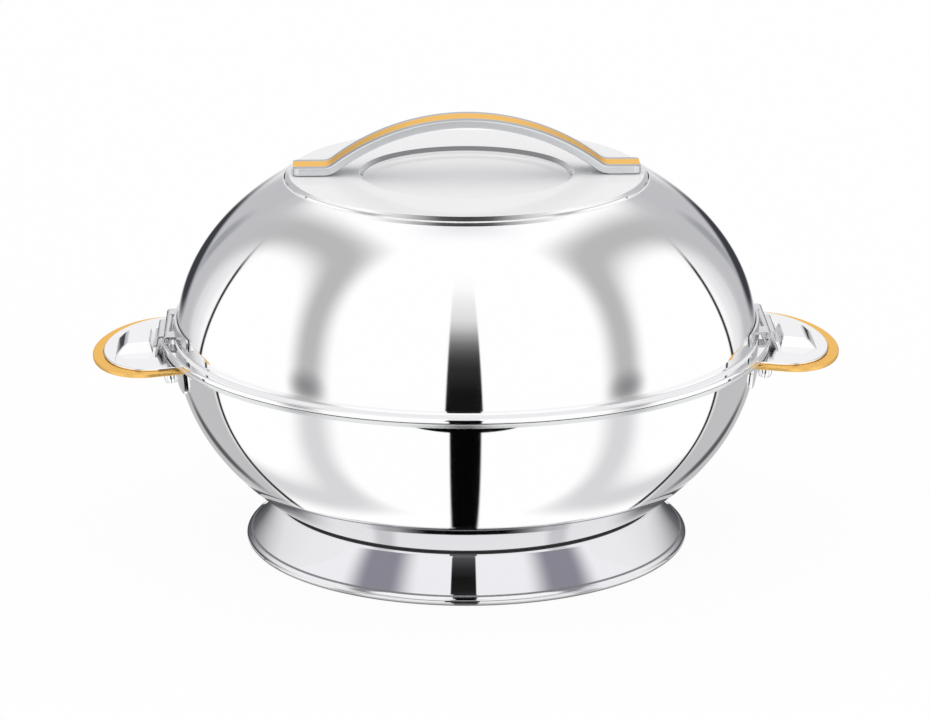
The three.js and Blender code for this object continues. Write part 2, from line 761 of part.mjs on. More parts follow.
// Clip strap: follows the dome's wall and carries an eye on each side of the clip.
function clipBracket() {
  const low = lidRimHeight + clipStrapLift;
  const face = roundedRectangle(clipStrapHalfWidth, low, low + clipStrapHeight, clipStrapCorner);
  const window = solid(alongX(face, hingeX / 2, hingeX + curlRadius));
  const strap = domeKeepOut(seatGap + clipSheet).intersect(window);
  const eyeStart = clipHalf + seatGap;
  const eyeEnd = eyeStart + eyeLength;
  const webTop = hingeZ + curlRadius;
  const eyes = [-1, 1].flatMap((side) => {
    const [from, to] = [side * eyeStart, side * eyeEnd].sort((a, b) => a - b);
    const web = new THREE.BoxGeometry(eyeLength, eyeLength, eyeWebThickness);
    web.translate(hingeX - eyeLength / 2, (from + to) / 2, webTop - eyeWebThickness / 2);
    return [solid(barY(curlRadius, from, to, hingeX, hingeZ)), solid(web)];
  });
  const joined = eyes.reduce((body, eye) => body.add(eye), strap);
  const hole = solid(barY(pinRadius + runGap, -eyeEnd - cutOverrun, eyeEnd + cutOverrun, hingeX, hingeZ));
  return joined.subtract(hole).subtract(domeKeepOut(seatGap));
}

function hingePin() {
  const end = clipHalf + seatGap + eyeLength + pinEnd;
  return barY(pinRadius, -end, end, hingeX, hingeZ);
}

// Clip flap: a curl round the pin, a plateau over the rim, and a dip that ends behind the catch.
function clipFlap() {
  const plateauZ = hingeZ - curlRadius + clipSheet / 2;
  const toeZ = plateTopAt(clipToeEnd) + toeAbovePlate + clipSheet / 2;
  const middle = roundedPath([
    pt(hingeX, plateauZ),
    pt(clipPlateauEnd, plateauZ),
    pt(clipPlateauEnd + clipDipRun, toeZ),
    pt(clipToeEnd, toeZ),
  ], clipBendRadius);
  const leaf = solid(acrossY(layerOutline(middle, -clipSheet / 2, clipSheet / 2), clipWidth));
  const curl = solid(barY(curlRadius, -clipHalf, clipHalf, hingeX, hingeZ));
  const hole = solid(barY(pinRadius + runGap, -clipHalf - cutOverrun, clipHalf + cutOverrun, hingeX, hingeZ));
  return leaf.add(curl).subtract(hole);
}

const casserole = new THREE.Group();
piece('foot_ring', footRing(), polishedSteel, casserole);
piece('base_outer_shell', bowlOuterShell(), polishedSteel, casserole);
piece('base_inner_bowl', bowlInnerShell(), satinSteel, casserole);
piece('base_insulation', bowlFoam(), foam, casserole);
piece('base_fill_plug', fillPlug(bowlFloorHeight), plugPlastic, casserole);

const lid = new THREE.Group();
casserole.add(lid);
piece('lid_outer_dome', lidDome(), polishedSteel, lid);
piece('lid_inner_liner', lidLiner(), satinSteel, lid);
piece('lid_insulation', lidFoam(), foam, lid);
piece('lid_fill_plug', fillPlug(linerTopHeight), plugPlastic, lid);
piece('lid_handle', lidHandle(), polishedSteel, lid);
piece('lid_handle_inlay', handleInlay(), giltBand, lid);
studPlaces().forEach((x, i) => {
  const side = ['left', 'right'][i];
  piece(`lid_handle_washer_${side}`, washer(x), satinSteel, lid);
  piece(`lid_handle_nut_${side}`, nut(x), satinSteel, lid);
});

// The pieces of one side, made as they lie at +X and turned half a turn for the other side.
for (const [side, turn] of [['right', 0], ['left', Math.PI]]) {
  const handle = new THREE.Group();
  handle.rotation.z = turn;
  casserole.add(handle);
  piece(`${side}_handle_plate`, handlePlate(), polishedSteel, handle);
  piece(`${side}_handle_band`, handleBand(), giltBand, handle);
  piece(`${side}_handle_bracket`, handleBracket(), polishedSteel, handle);
  boltPlaces().forEach((y, i) => {
    const place = (side === 'right' ? ['front', 'rear'] : ['rear', 'front'])[i];
    piece(`${side}_handle_bolt_${place}`, bolt(y), polishedSteel, handle);
    piece(`${side}_handle_cap_nut_${place}`, capNut(y), polishedSteel, handle);
  });
  const clip = new THREE.Group();
  clip.rotation.z = turn;
  lid.add(clip);
  piece(`${side}_clip_bracket`, clipBracket(), polishedSteel, clip);
  piece(`${side}_clip_pin`, hingePin(), polishedSteel, clip);
  piece(`${side}_clip_flap`, clipFlap(), polishedSteel, clip);
}

export default casserole;
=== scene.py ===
"""Dresses the insulated serving casserole: steel skins, arched lid handle, side handles and lock clips.

Lengths are in millimetres in the part's own frame, and become metres when a mesh or a camera is made.
"""

import logging
import math
from collections.abc import Callable, Sequence
from dataclasses import dataclass, replace
from enum import Enum

import bmesh
import bpy
from mathutils import Matrix, Vector


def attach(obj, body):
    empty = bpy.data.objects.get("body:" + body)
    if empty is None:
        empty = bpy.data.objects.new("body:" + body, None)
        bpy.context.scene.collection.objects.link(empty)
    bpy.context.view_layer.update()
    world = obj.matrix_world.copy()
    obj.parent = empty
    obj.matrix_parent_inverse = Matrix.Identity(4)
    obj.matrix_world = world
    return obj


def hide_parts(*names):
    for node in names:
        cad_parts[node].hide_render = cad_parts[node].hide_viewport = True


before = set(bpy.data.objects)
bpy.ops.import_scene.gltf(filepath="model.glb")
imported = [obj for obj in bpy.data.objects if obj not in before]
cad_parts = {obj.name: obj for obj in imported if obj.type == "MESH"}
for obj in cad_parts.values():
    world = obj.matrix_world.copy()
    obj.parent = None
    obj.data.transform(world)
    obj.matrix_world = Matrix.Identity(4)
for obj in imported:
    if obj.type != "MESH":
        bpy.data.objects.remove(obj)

LOG = logging.getLogger("casserole")
MM = 0.001
ON_AXIS = 1e-6
RING_STEPS = 192
BAR_STEPS = 32
ARC_DEGREES = 15
STRAIGHT_DEGREES = 1
SHARPEST_MITRE = 0.2
LEG_SHARE = 0.45
EDGE_STEPS = 5
WALL_STEPS = 48
CURVE_STEPS = 12
FINE_ROUND = 0.1
EDGE_ROUND = 0.15
SHEET_ROUND = 0.3
FOLD_ROUND = 0.8
CUT_OVERRUN = 2.0
SUPPORT = 0.12
SHARP_DEGREES = 38

Tree = bpy.types.NodeTree
Socket = bpy.types.NodeSocket
Material = bpy.types.Material
Pair = tuple[float, float]
Stops = tuple[Pair, ...]
Colour = Socket | tuple[float, ...]


class Slot(Enum):
    """The record's material slots."""

    POLISHED = "polished_steel"
    SATIN = "satin_steel"
    GILT = "gilt_band"
    FOAM = "insulation_foam"
    PLASTIC = "plug_plastic"


class Cut(Enum):
    """How one solid meets another."""

    JOIN = "UNION"
    REMOVE = "DIFFERENCE"
    KEEP = "INTERSECT"


@dataclass(frozen=True)
class Bend:
    """A corner of a profile: across, up, and how far it is rounded; 0 marks a point on a smooth run."""

    x: float
    z: float
    round: float = EDGE_ROUND

    @property
    def point(self) -> Vector:
        """The corner as a flat vector."""
        return Vector((self.x, self.z))


@dataclass
class Facets:
    """Corners, in millimetres, and faces of a piece under way."""

    corners: list[Vector]
    faces: list[Sequence[int]]

    def joined(self, other: "Facets") -> "Facets":
        """Both sets of faces as one, each shell kept whole."""
        shift = len(self.corners)
        moved = [[i + shift for i in face] for face in other.faces]
        return Facets(self.corners + other.corners, [*self.faces, *moved])

    def moved(self, place: Matrix) -> "Facets":
        """The same faces under a 4x4 matrix."""
        return Facets([place @ c for c in self.corners], self.faces)


def ellipse_share(share: float) -> float:
    """Height of a unit ellipse at a share of its half width, or the other way round."""
    return math.sqrt(1 - share * share)


def ellipse_run(
    radius: float, semi_height: float, centre: float, start: float, end: float, steps: int
) -> list[Bend]:
    """Points along an ellipse of revolution's profile.

    Args:
        radius: its half width.
        semi_height: its half height.
        centre: height of its widest place.
        start: height at which the run starts.
        end: height at which it ends.
        steps: how many equal turns it is cut into.

    Returns:
        The smooth run of points.
    """
    turn_from = math.asin((start - centre) / semi_height)
    turn_to = math.asin((end - centre) / semi_height)
    turns = [turn_from + (turn_to - turn_from) * i / steps for i in range(steps + 1)]
    return [Bend(radius * math.cos(a), centre + semi_height * math.sin(a), 0) for a in turns]


def arc_run(centre: Sequence[float], radius: float, start: float, end: float, steps: int) -> list[Bend]:
    """Points of a circle's arc.

    Args:
        centre: its centre, across and up.
        radius: its radius.
        start: where it starts, in degrees from across.
        end: where it ends.
        steps: how many equal turns it is cut into.

    Returns:
        The smooth run of points.
    """
    turns = [math.radians(start + (end - start) * i / steps) for i in range(steps + 1)]
    return [Bend(centre[0] + radius * math.cos(a), centre[1] + radius * math.sin(a), 0) for a in turns]


def normals_along(points: Sequence[Vector], closed: bool) -> list[Vector]:
    """Left-hand mitre vectors of a path.

    Args:
        points: the path.
        closed: whether its end meets its start.

    Returns:
        For each point, the step that moves both of its legs one unit to the left.
    """
    legs = list(zip(points, [*points[1:], points[0]]))
    sides = [Vector((a.y - b.y, b.x - a.x)).normalized() for a, b in legs]
    if not closed:
        sides[-1] = sides[-2]
    mitres = []
    for i, after in enumerate(sides):
        before = sides[i - 1] if closed or i else after
        mean = (before + after).normalized()
        mitres.append(mean / max(mean.dot(after), SHARPEST_MITRE))
    return mitres


def beside(path: Sequence[Bend], step: float) -> list[Vector]:
    """A path moved sideways by a step, to its left, or to its right where negative."""
    mitres = normals_along([b.point for b in path], closed=False)
    moved = [b.point + m * step for b, m in zip(path, mitres)]
    return [Vector((0, p.y)) if b.x < ON_AXIS else p for b, p in zip(path, moved)]


def sheet(path: Sequence[Bend], thickness: float) -> list[Bend]:
    """The outline of bent sheet whose one face is the path.

    Args:
        path: the face, with its bends rounded on that face.
        thickness: how thick the sheet is, to the path's left, or to its right where negative.

    Returns:
        The closed outline, with each bend rounded to match on the other face.
    """
    mitres = normals_along([b.point for b in path], closed=False)
    other = []
    for i, (bend, mitre) in enumerate(zip(path, mitres)):
        spot = bend.point + mitre * thickness
        rounding = bend.round
        if bend.round and 0 < i < len(path) - 1:
            into = bend.point - path[i - 1].point
            out = path[i + 1].point - bend.point
            towards = math.copysign(1, into.cross(out) * thickness)
            rounding = max(bend.round - towards * abs(thickness), EDGE_ROUND)
        other.append(Bend(max(spot.x, 0) if bend.x < ON_AXIS else spot.x, spot.y, rounding))
    return [*path, *reversed(other)]


def softened(bends: Sequence[Bend]) -> list[Vector]:
    """A closed outline with its bends rounded, and points beside each rounding that keep the flats flat.

    Args:
        bends: the outline's corners.

    Returns:
        The outline's points.
    """
    points = []
    for i, bend in enumerate(bends):
        here = bend.point
        into = here - bends[i - 1].point
        out = bends[(i + 1) % len(bends)].point - here
        turn = math.atan2(into.cross(out), into.dot(out))
        if not bend.round or abs(turn) < math.radians(STRAIGHT_DEGREES):
            points.append(here)
            continue
        slope = math.tan(abs(turn) / 2)
        reach = min(bend.round * slope, LEG_SHARE * min(into.length, out.length))
        into, out, spare_in, spare_out = into.normalized(), out.normalized(), into.length, out.length
        start = here - into * reach
        centre = start + Vector((-into.y, into.x)) * math.copysign(reach / slope, turn)
        if spare_in > reach + 3 * SUPPORT:
            points.append(start - into * SUPPORT)
        steps = max(2, math.ceil(abs(math.degrees(turn)) / ARC_DEGREES))
        points += [centre + Matrix.Rotation(turn * k / steps, 2) @ (start - centre) for k in range(steps + 1)]
        if spare_out > reach + 3 * SUPPORT:
            points.append(here + out * (reach + SUPPORT))
    return points


def mirrored(right: Sequence[Bend]) -> list[Bend]:
    """An outline given by its right-hand corners, and the same corners mirrored on the left."""
    return [*right, *(replace(b, x=-b.x) for b in reversed(right))]


def turned(profile: Sequence[Vector], steps: int = RING_STEPS) -> Facets:
    """A profile of radius and height turned about the Z axis.

    Args:
        profile: points that close on themselves, or start and end on the axis.
        steps: how many faces go round.

    Returns:
        The turned solid.
    """
    corners: list[Vector] = []
    rings: list[list[int]] = []
    for p in profile:
        if p.x < ON_AXIS:
            rings.append([len(corners)] * steps)
            corners.append(Vector((0, 0, p.y)))
            continue
        rings.append(list(range(len(corners), len(corners) + steps)))
        turns = [math.tau * i / steps for i in range(steps)]
        corners += [Vector((p.x * math.cos(a), p.x * math.sin(a), p.y)) for a in turns]
    faces = []
    for low, high in zip(rings, rings[1:] + rings[:1]):
        for i in range(steps):
            j = (i + 1) % steps
            face = list(dict.fromkeys((low[i], low[j], high[j], high[i])))
            if len(face) > 2:
                faces.append(face)
    return Facets(corners, faces)


def raised(
    outline: Sequence[Vector], low: float, high: float, low_round: float = 0, high_round: float = 0
) -> Facets:
    """An outline in the X-Y plane raised from one height to another.

    Args:
        outline: the plan's points.
        low: the lower face's height.
        high: the upper face's height.
        low_round: rounding of the lower edge.
        high_round: rounding of the upper edge.

    Returns:
        The raised solid.
    """
    area = sum(a.cross(b) for a, b in zip(outline, [*outline[1:], outline[0]]))
    plan = list(outline) if area > 0 else list(reversed(outline))
    inward = normals_along(plan, closed=True)
    turns = [math.radians(90 * i / EDGE_STEPS) for i in range(EDGE_STEPS + 1)]
    curve = [(1 - math.sin(a), 1 - math.cos(a)) for a in turns]
    levels = []
    if low_round:
        levels.append((low, low_round + SUPPORT))
        levels += [(low + low_round * back, low_round * inset) for back, inset in reversed(curve)]
    else:
        levels.append((low, 0.0))
    if high_round:
        levels += [(high - high_round * back, high_round * inset) for back, inset in curve]
        levels.append((high, high_round + SUPPORT))
    else:
        levels.append((high, 0.0))
    corners = [Vector((*(p + n * inset), z)) for z, inset in levels for p, n in zip(plan, inward)]
    count = len(plan)
    top = count * (len(levels) - 1)
    faces: list[Sequence[int]] = [list(reversed(range(count))), range(top, top + count)]
    for level in range(len(levels) - 1):
        base = level * count
        for i in range(count):
            j = (i + 1) % count
            faces.append((base + i, base + j, base + count + j, base + count + i))
    return Facets(corners, faces)


def across_y(outline: Sequence[Vector], width: float, end_round: float = 0) -> Facets:
    """An outline of X and Z, made as wide as given in Y and centred on the X-Z plane."""
    made = raised(outline, -width / 2, width / 2, end_round, end_round)
    return Facets([Vector((c.x, c.z, c.y)) for c in made.corners], made.faces)


def spaced(start: float, end: float, cell: float) -> list[float]:
    """Evenly spaced places from start to end, no further apart than a cell."""
    steps = math.ceil((end - start) / cell)
    return [start + (end - start) * i / steps for i in range(steps + 1)]


def hill(
    places: Sequence[Pair], row: int, height: Callable[[float, float], float], low: float
) -> Facets:
    """A solid with a flat foot and a top that follows a height.

    Args:
        places: the grid's places in the X-Y plane, row after row.
        row: how many places are in a row.
        height: the top's height over a place.
        low: the foot's height.

    Returns:
        The solid.
    """
    count = len(places)
    corners = [Vector((x, y, height(x, y))) for x, y in places] + [Vector((x, y, low)) for x, y in places]
    faces: list[Sequence[int]] = []
    for i in range(count - row):
        if (i + 1) % row:
            faces.append((i, i + row, i + row + 1, i + 1))
            faces.append((count + i, count + i + 1, count + i + row + 1, count + i + row))
    rim = [*range(row), *range(2 * row - 1, count, row), *range(count - 2, count - row - 1, -1),
           *range(count - 2 * row, 0, -row)]
    for a, b in zip(rim, [*rim[1:], rim[0]]):
        faces.append((a, b, count + b, count + a))
    return Facets(corners, faces)


def along_x(outline: Sequence[Vector], start: float, end: float) -> Facets:
    """An outline of Y and Z drawn out along X."""
    made = raised(outline, start, end)
    return Facets([Vector((c.z, c.x, c.y)) for c in made.corners], made.faces)


def bar(radius: float, start: float, end: float, end_round: float = EDGE_ROUND) -> Facets:
    """A round bar standing on the Z axis, with rounded ends."""
    edge = [Bend(radius, start, end_round), Bend(radius, end, end_round)]
    return turned(softened([Bend(0, start, 0), *edge, Bend(0, end, 0)]), BAR_STEPS)


def bar_y(radius: float, start: float, end: float, place: Pair, end_round: float = EDGE_ROUND) -> Facets:
    """A round bar along Y at a place across and up."""
    lying = Matrix.Translation((place[0], 0, place[1])) @ Matrix.Rotation(math.radians(-90), 4, "X")
    return bar(radius, start, end, end_round).moved(lying)


def rounded_rectangle(half_width: float, low: float, high: float, corner: float) -> list[Vector]:
    """A rectangle standing on a height, centred across, with round corners."""
    fit = min(corner, half_width, (high - low) / 2)
    places = [(half_width, low), (half_width, high), (-half_width, high), (-half_width, low)]
    return softened([Bend(x, z, fit) for x, z in places])


def upright(facets: Facets, name: str, closed: bool = True) -> bpy.types.Object:
    """An object of the facets in the scene; the faces of a closed one are all turned outwards."""
    mesh = bpy.data.meshes.new(name)
    mesh.from_pydata(facets.corners, [], [list(face) for face in facets.faces])
    if closed:
        work = bmesh.new()
        work.from_mesh(mesh)
        bmesh.ops.recalc_face_normals(work, faces=work.faces)
        work.to_mesh(mesh)
        work.free()
    made = bpy.data.objects.new(name, mesh)
    bpy.context.scene.collection.objects.link(made)
    return made


def combined(body: Facets, tool: Facets, how: Cut) -> Facets:
    """One solid joined to, cut by or kept within another.

    Args:
        body: the solid that is worked on.
        tool: the solid that works on it.
        how: join, remove or keep.

    Returns:
        What is left or made.
    """
    worked, working = upright(body, "worked"), upright(tool, "working")
    step = worked.modifiers.new("cut", "BOOLEAN")
    step.operation = how.value
    step.solver = "MANIFOLD"
    step.object = working
    mesh = bpy.data.meshes.new_from_object(worked.evaluated_get(bpy.context.evaluated_depsgraph_get()))
    made = Facets([v.co.copy() for v in mesh.vertices], [list(p.vertices) for p in mesh.polygons])
    for used in (worked, working):
        bpy.data.objects.remove(used)
    return made


def make_piece(name: str, facets: Facets, finish: Material, body: str, node: str, slot: Slot) -> None:
    """Makes a shown piece, sets it on its body in place of its node, and reports it.

    Args:
        name: the piece's name.
        facets: its faces, in millimetres.
        finish: its material.
        body: the body it rides on.
        node: the CAD node it stands for.
        slot: the record's slot of its finish; not used.
    """
    piece = upright(facets.moved(Matrix.Scale(MM, 4)), name)
    piece.data.shade_smooth()
    piece.data.set_sharp_from_angle(angle=math.radians(SHARP_DEGREES))
    piece.data.materials.append(finish)
    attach(piece, body)
    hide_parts(node)
    LOG.info("%s: %d faces on %s", name, len(piece.data.polygons), body)


def linear(tone: str) -> tuple[float, float, float, float]:
    """An sRGB hex colour as a linear one with full alpha."""
    shares = [int(tone[i : i + 2], 16) / 255 for i in (1, 3, 5)]
    return (*(s / 12.92 if s <= 0.04045 else ((s + 0.055) / 1.055) ** 2.4 for s in shares), 1.0)


def add_node(tree: Tree, kind: str, inputs: dict | None = None, **settings: object) -> bpy.types.Node:
    """Adds a node with its settings, and fills or links its inputs.

    Args:
        tree: the node tree.
        kind: the node's type.
        inputs: for each input's name or number, a value or the socket that feeds it.
        settings: the node's own properties.

    Returns:
        The new node.
    """
    node = tree.nodes.new(kind)
    for name, value in settings.items():
        setattr(node, name, value)
    for key, value in (inputs or {}).items():
        if isinstance(value, Socket):
            tree.links.new(value, node.inputs[key])
        else:
            node.inputs[key].default_value = value
    return node


def bare_material(name: str) -> tuple[Material, Tree]:
    """A new node material with nothing in it, and its tree."""
    material = bpy.data.materials.new(name)
    material.use_nodes = True
    material.node_tree.nodes.clear()
    return material, material.node_tree


def together(tree: Tree, *amounts: Socket) -> Socket:
    """Some amounts multiplied into one."""
    whole = amounts[0]
    for amount in amounts[1:]:
        whole = add_node(tree, "ShaderNodeMath", {0: whole, 1: amount}, operation="MULTIPLY").outputs[0]
    return whole


def rising(tree: Tree, value: Socket, none: float, full: float) -> Socket:
    """How far a value has come from where there is nothing to where there is all, either way round."""
    low, high = min(none, full), max(none, full)
    ends = (0.0, 1.0) if none < full else (1.0, 0.0)
    reach = {"Value": value, 1: low, 2: high, 3: ends[0], 4: ends[1]}
    return add_node(tree, "ShaderNodeMapRange", reach, interpolation_type="SMOOTHSTEP").outputs[0]


def within(tree: Tree, value: Socket, centre: float, half: float, soft: float) -> Socket:
    """1 where a value lies within a half width of a centre, with soft edges outside it."""
    aside = add_node(tree, "ShaderNodeMath", {0: value, 1: centre}, operation="SUBTRACT")
    off = add_node(tree, "ShaderNodeMath", {0: aside.outputs[0]}, operation="ABSOLUTE")
    return rising(tree, off.outputs[0], half + soft, half)


def ramped(tree: Tree, value: Socket, stops: Stops, ease: bool = False) -> Socket:
    """An amount that follows a value.

    Args:
        tree: the node tree.
        value: what it follows.
        stops: values, rising, and the amount at each.
        ease: whether the amount eases in and out between the stops.

    Returns:
        The amount.
    """
    low, high = stops[0][0], stops[-1][0]
    share = add_node(tree, "ShaderNodeMapRange", {"Value": value, 1: low, 2: high})
    ramp = add_node(tree, "ShaderNodeValToRGB", {"Fac": share.outputs[0]})
    ramp.color_ramp.interpolation = "EASE" if ease else "LINEAR"
    while len(ramp.color_ramp.elements) < len(stops):
        ramp.color_ramp.elements.new(1.0)
    for stop, (at, amount) in zip(ramp.color_ramp.elements, stops):
        stop.position = (at - low) / (high - low)
        stop.color = (amount, amount, amount, 1)
    return ramp.outputs["Color"]


def over(tree: Tree, under: Colour, tone: str, *amounts: Socket) -> Socket:
    """A colour with a tone laid over it, by all the amounts together."""
    layers = {0: together(tree, *amounts), 6: under, 7: linear(tone)}
    return add_node(tree, "ShaderNodeMix", layers, data_type="RGBA").outputs[2]


def grained(tree: Tree, place: Socket, size: float, depth: float, strength: float = 1.0) -> Socket:
    """The surface's normals under a fine random grain.

    Args:
        tree: the node tree.
        place: the place on the piece.
        size: the grain's size in millimetres.
        depth: its depth in millimetres.
        strength: how much of it shows.

    Returns:
        The normals.
    """
    grain = add_node(tree, "ShaderNodeTexNoise", {"Vector": place, "Scale": 1 / (size * MM)}).outputs["Fac"]
    relief = {"Height": grain, "Distance": depth * MM, "Strength": strength}
    return add_node(tree, "ShaderNodeBump", relief).outputs["Normal"]


@dataclass(frozen=True)
class Finish:
    """What every finish has: its name, colour and roughness, and whether it is a metal."""

    name: str
    tone: str
    roughness: float
    metallic: float = 1.0

    def make(self) -> Material:
        """The material, with the finish's own pattern on it."""
        material, tree = bare_material(self.name)
        place = add_node(tree, "ShaderNodeTexCoord").outputs["Object"]
        inputs = {"Base Color": linear(self.tone), "Metallic": self.metallic, "Roughness": self.roughness}
        shader = add_node(tree, "ShaderNodeBsdfPrincipled", inputs | self._pattern(tree, place))
        surface = self._covered(tree, place, shader.outputs["BSDF"])
        add_node(tree, "ShaderNodeOutputMaterial", {"Surface": surface})
        return material

    def _pattern(self, tree: Tree, place: Socket) -> dict[str, object]:
        """What the pattern gives to the shader's inputs."""
        raise NotImplementedError

    def _covered(self, tree: Tree, place: Socket, surface: Socket) -> Socket:
        """The surface with what lies over it."""
        return surface


@dataclass(frozen=True)
class Line:
    """A dull zone round a turned piece, which on the foot is painted shade: its height, how far it reaches
    either way, fade, tone and share.
    """

    height: float
    half: float
    soft: float
    tone: str
    share: float = 1.0


@dataclass(frozen=True)
class MirrorSteel(Finish):
    """Stainless sheet, spun or pressed, then buffed on a wheel.

    It gives the eye a mirror with a trace of haze that wanders with the buffing. Its dull lines are diffuse
    bands at given heights; the dark ones are painted shade in seams, creases and along edges.
    """

    name: str = "stainless_steel_mirror_buffed"
    tone: str = "#F5F5F6"
    roughness: float = 0.02
    haziest: float = 0.05
    buffing_patch: float = 9.0
    lines: tuple[Line, ...] = ()

    def _pattern(self, tree: Tree, place: Socket) -> dict[str, object]:
        """The haze, in patches."""
        scale = 1 / (self.buffing_patch * MM)
        patches = add_node(tree, "ShaderNodeTexNoise", {"Vector": place, "Scale": scale}).outputs["Fac"]
        span = {"Value": patches, "To Min": self.roughness, "To Max": self.haziest}
        return {"Roughness": add_node(tree, "ShaderNodeMapRange", span).outputs["Result"]}

    def _covered(self, tree: Tree, place: Socket, surface: Socket) -> Socket:
        """The mirror with its dull lines, the dark ones painted shade."""
        height = add_node(tree, "ShaderNodeSeparateXYZ", {"Vector": place}).outputs["Z"]
        for line in self.lines:
            amount = within(tree, height, line.height * MM, line.half * MM, line.soft * MM)
            part = add_node(tree, "ShaderNodeMath", {0: amount, 1: line.share}, operation="MULTIPLY")
            # A diffuse band over the mirror: painted shade where its tone is dark.
            dull = add_node(tree, "ShaderNodeBsdfDiffuse", {"Color": linear(line.tone)})
            layers = {0: part.outputs[0], 1: surface, 2: dull.outputs["BSDF"]}
            surface = add_node(tree, "ShaderNodeMixShader", layers).outputs["Shader"]
        return surface


@dataclass(frozen=True)
class SpunSteel(Finish):
    """Stainless sheet left as the spinning lathe finished it.

    It gives the eye a soft sheen crossed by fine rings, drawn ten times coarser than real so that they show.
    """

    name: str = "stainless_steel_spun_satin"
    tone: str = "#DFE0E1"
    roughness: float = 0.24
    ring_spacing: float = 0.5
    ring_depth: float = 0.02
    ring_strength: float = 0.6

    def _pattern(self, tree: Tree, place: Socket) -> dict[str, object]:
        """The rings: a grain that follows the distance from the axis and the height."""
        parts = add_node(tree, "ShaderNodeSeparateXYZ", {"Vector": place}).outputs
        plan = add_node(tree, "ShaderNodeCombineXYZ", {"X": parts["X"], "Y": parts["Y"]}).outputs["Vector"]
        radius = add_node(tree, "ShaderNodeVectorMath", {0: plan}, operation="LENGTH").outputs["Value"]
        ring = add_node(tree, "ShaderNodeCombineXYZ", {"X": radius, "Y": parts["Z"]}).outputs["Vector"]
        return {"Normal": grained(tree, ring, self.ring_spacing, self.ring_depth, self.ring_strength)}


@dataclass(frozen=True)
class BrushedSteel(Finish):
    """Stainless strip, brushed with a fine belt and left so.

    It gives the eye a soft grey sheen drawn out along X, without sharp reflections. Where there is a
    highlight tone, the side faces, which face along Y, are painted lighter as a painted highlight, and a
    little rougher.
    """

    name: str = "stainless_steel_belt_brushed"
    tone: str = "#AEB0B3"
    roughness: float = 0.3
    highlight_tone: str | None = "#E2E4E6"
    highlight_roughness: float = 0.34
    highlight_facing: Pair = (0.55, 0.8)
    grain: float = 0.35
    grain_length: float = 24.0
    grain_depth: float = 0.008
    grain_strength: float = 0.5

    def _pattern(self, tree: Tree, place: Socket) -> dict[str, object]:
        """The drawn-out grain, and the painted highlight on the faces that face along Y."""
        drawn = {0: place, 1: (self.grain / self.grain_length, 1, 1)}
        along = add_node(tree, "ShaderNodeVectorMath", drawn, operation="MULTIPLY").outputs["Vector"]
        given = {"Normal": grained(tree, along, self.grain, self.grain_depth, self.grain_strength)}
        # Painted highlight: faces turned along Y get a lighter tone, chosen by their normal.
        if self.highlight_tone:
            normal = add_node(tree, "ShaderNodeNewGeometry").outputs["Normal"]
            facing = add_node(tree, "ShaderNodeSeparateXYZ", {"Vector": normal}).outputs["Y"]
            sideways = add_node(tree, "ShaderNodeMath", {0: facing}, operation="ABSOLUTE").outputs[0]
            edge = rising(tree, sideways, *self.highlight_facing)
            span = {"Value": edge, 3: self.roughness, 4: self.highlight_roughness}
            given["Base Color"] = over(tree, linear(self.tone), self.highlight_tone, edge)
            given["Roughness"] = add_node(tree, "ShaderNodeMapRange", span).outputs[0]
        return given


@dataclass(frozen=True)
class GiltTrim(Finish):
    """Titanium nitride coated steel strip, satin brushed before it was coated.

    It gives the eye an even warm gold with a soft, broad shine.
    """

    name: str = "gilt_steel_satin_coated"
    tone: str = "#FBCA76"
    roughness: float = 0.33
    grazing_tone: str = "#FFEBC1"
    grain: float = 0.4
    grain_depth: float = 0.01
    grain_strength: float = 0.4

    def _pattern(self, tree: Tree, place: Socket) -> dict[str, object]:
        """The satin grain, and the paler gold at a glancing angle."""
        normal = grained(tree, place, self.grain, self.grain_depth, self.grain_strength)
        return {"Specular Tint": linear(self.grazing_tone), "Normal": normal}


@dataclass(frozen=True)
class PouredFoam(Finish):
    """Rigid polyurethane foam, poured between the skins.

    It gives the eye a dry cream surface pricked with small cells.
    """

    name: str = "polyurethane_foam_poured"
    tone: str = "#E9DFB9"
    roughness: float = 0.95
    metallic: float = 0.0
    deep_tone: str = "#CDBF8E"
    cell: float = 1.2
    cell_depth_share: float = 0.25

    def _pattern(self, tree: Tree, place: Socket) -> dict[str, object]:
        """The cells: dark and sunk in the middle of each."""
        scale = 1 / (self.cell * MM)
        cells = add_node(tree, "ShaderNodeTexVoronoi", {"Vector": place, "Scale": scale}).outputs["Distance"]
        relief = {"Height": cells, "Distance": self.cell * self.cell_depth_share * MM}
        normal = add_node(tree, "ShaderNodeBump", relief).outputs["Normal"]
        return {"Base Color": over(tree, linear(self.deep_tone), self.tone, cells), "Normal": normal}


@dataclass(frozen=True)
class MouldedPlug(Finish):
    """Polypropylene, injection moulded in a spark-eroded tool.

    It gives the eye a near-black face with a faint even grain.
    """

    name: str = "polypropylene_moulded_black"
    tone: str = "#2B2B2D"
    roughness: float = 0.55
    metallic: float = 0.0
    ior: float = 1.49
    grain: float = 0.5
    grain_depth: float = 0.02

    def _pattern(self, tree: Tree, place: Socket) -> dict[str, object]:
        """The tool's even grain."""
        return {"IOR": self.ior, "Normal": grained(tree, place, self.grain, self.grain_depth)}


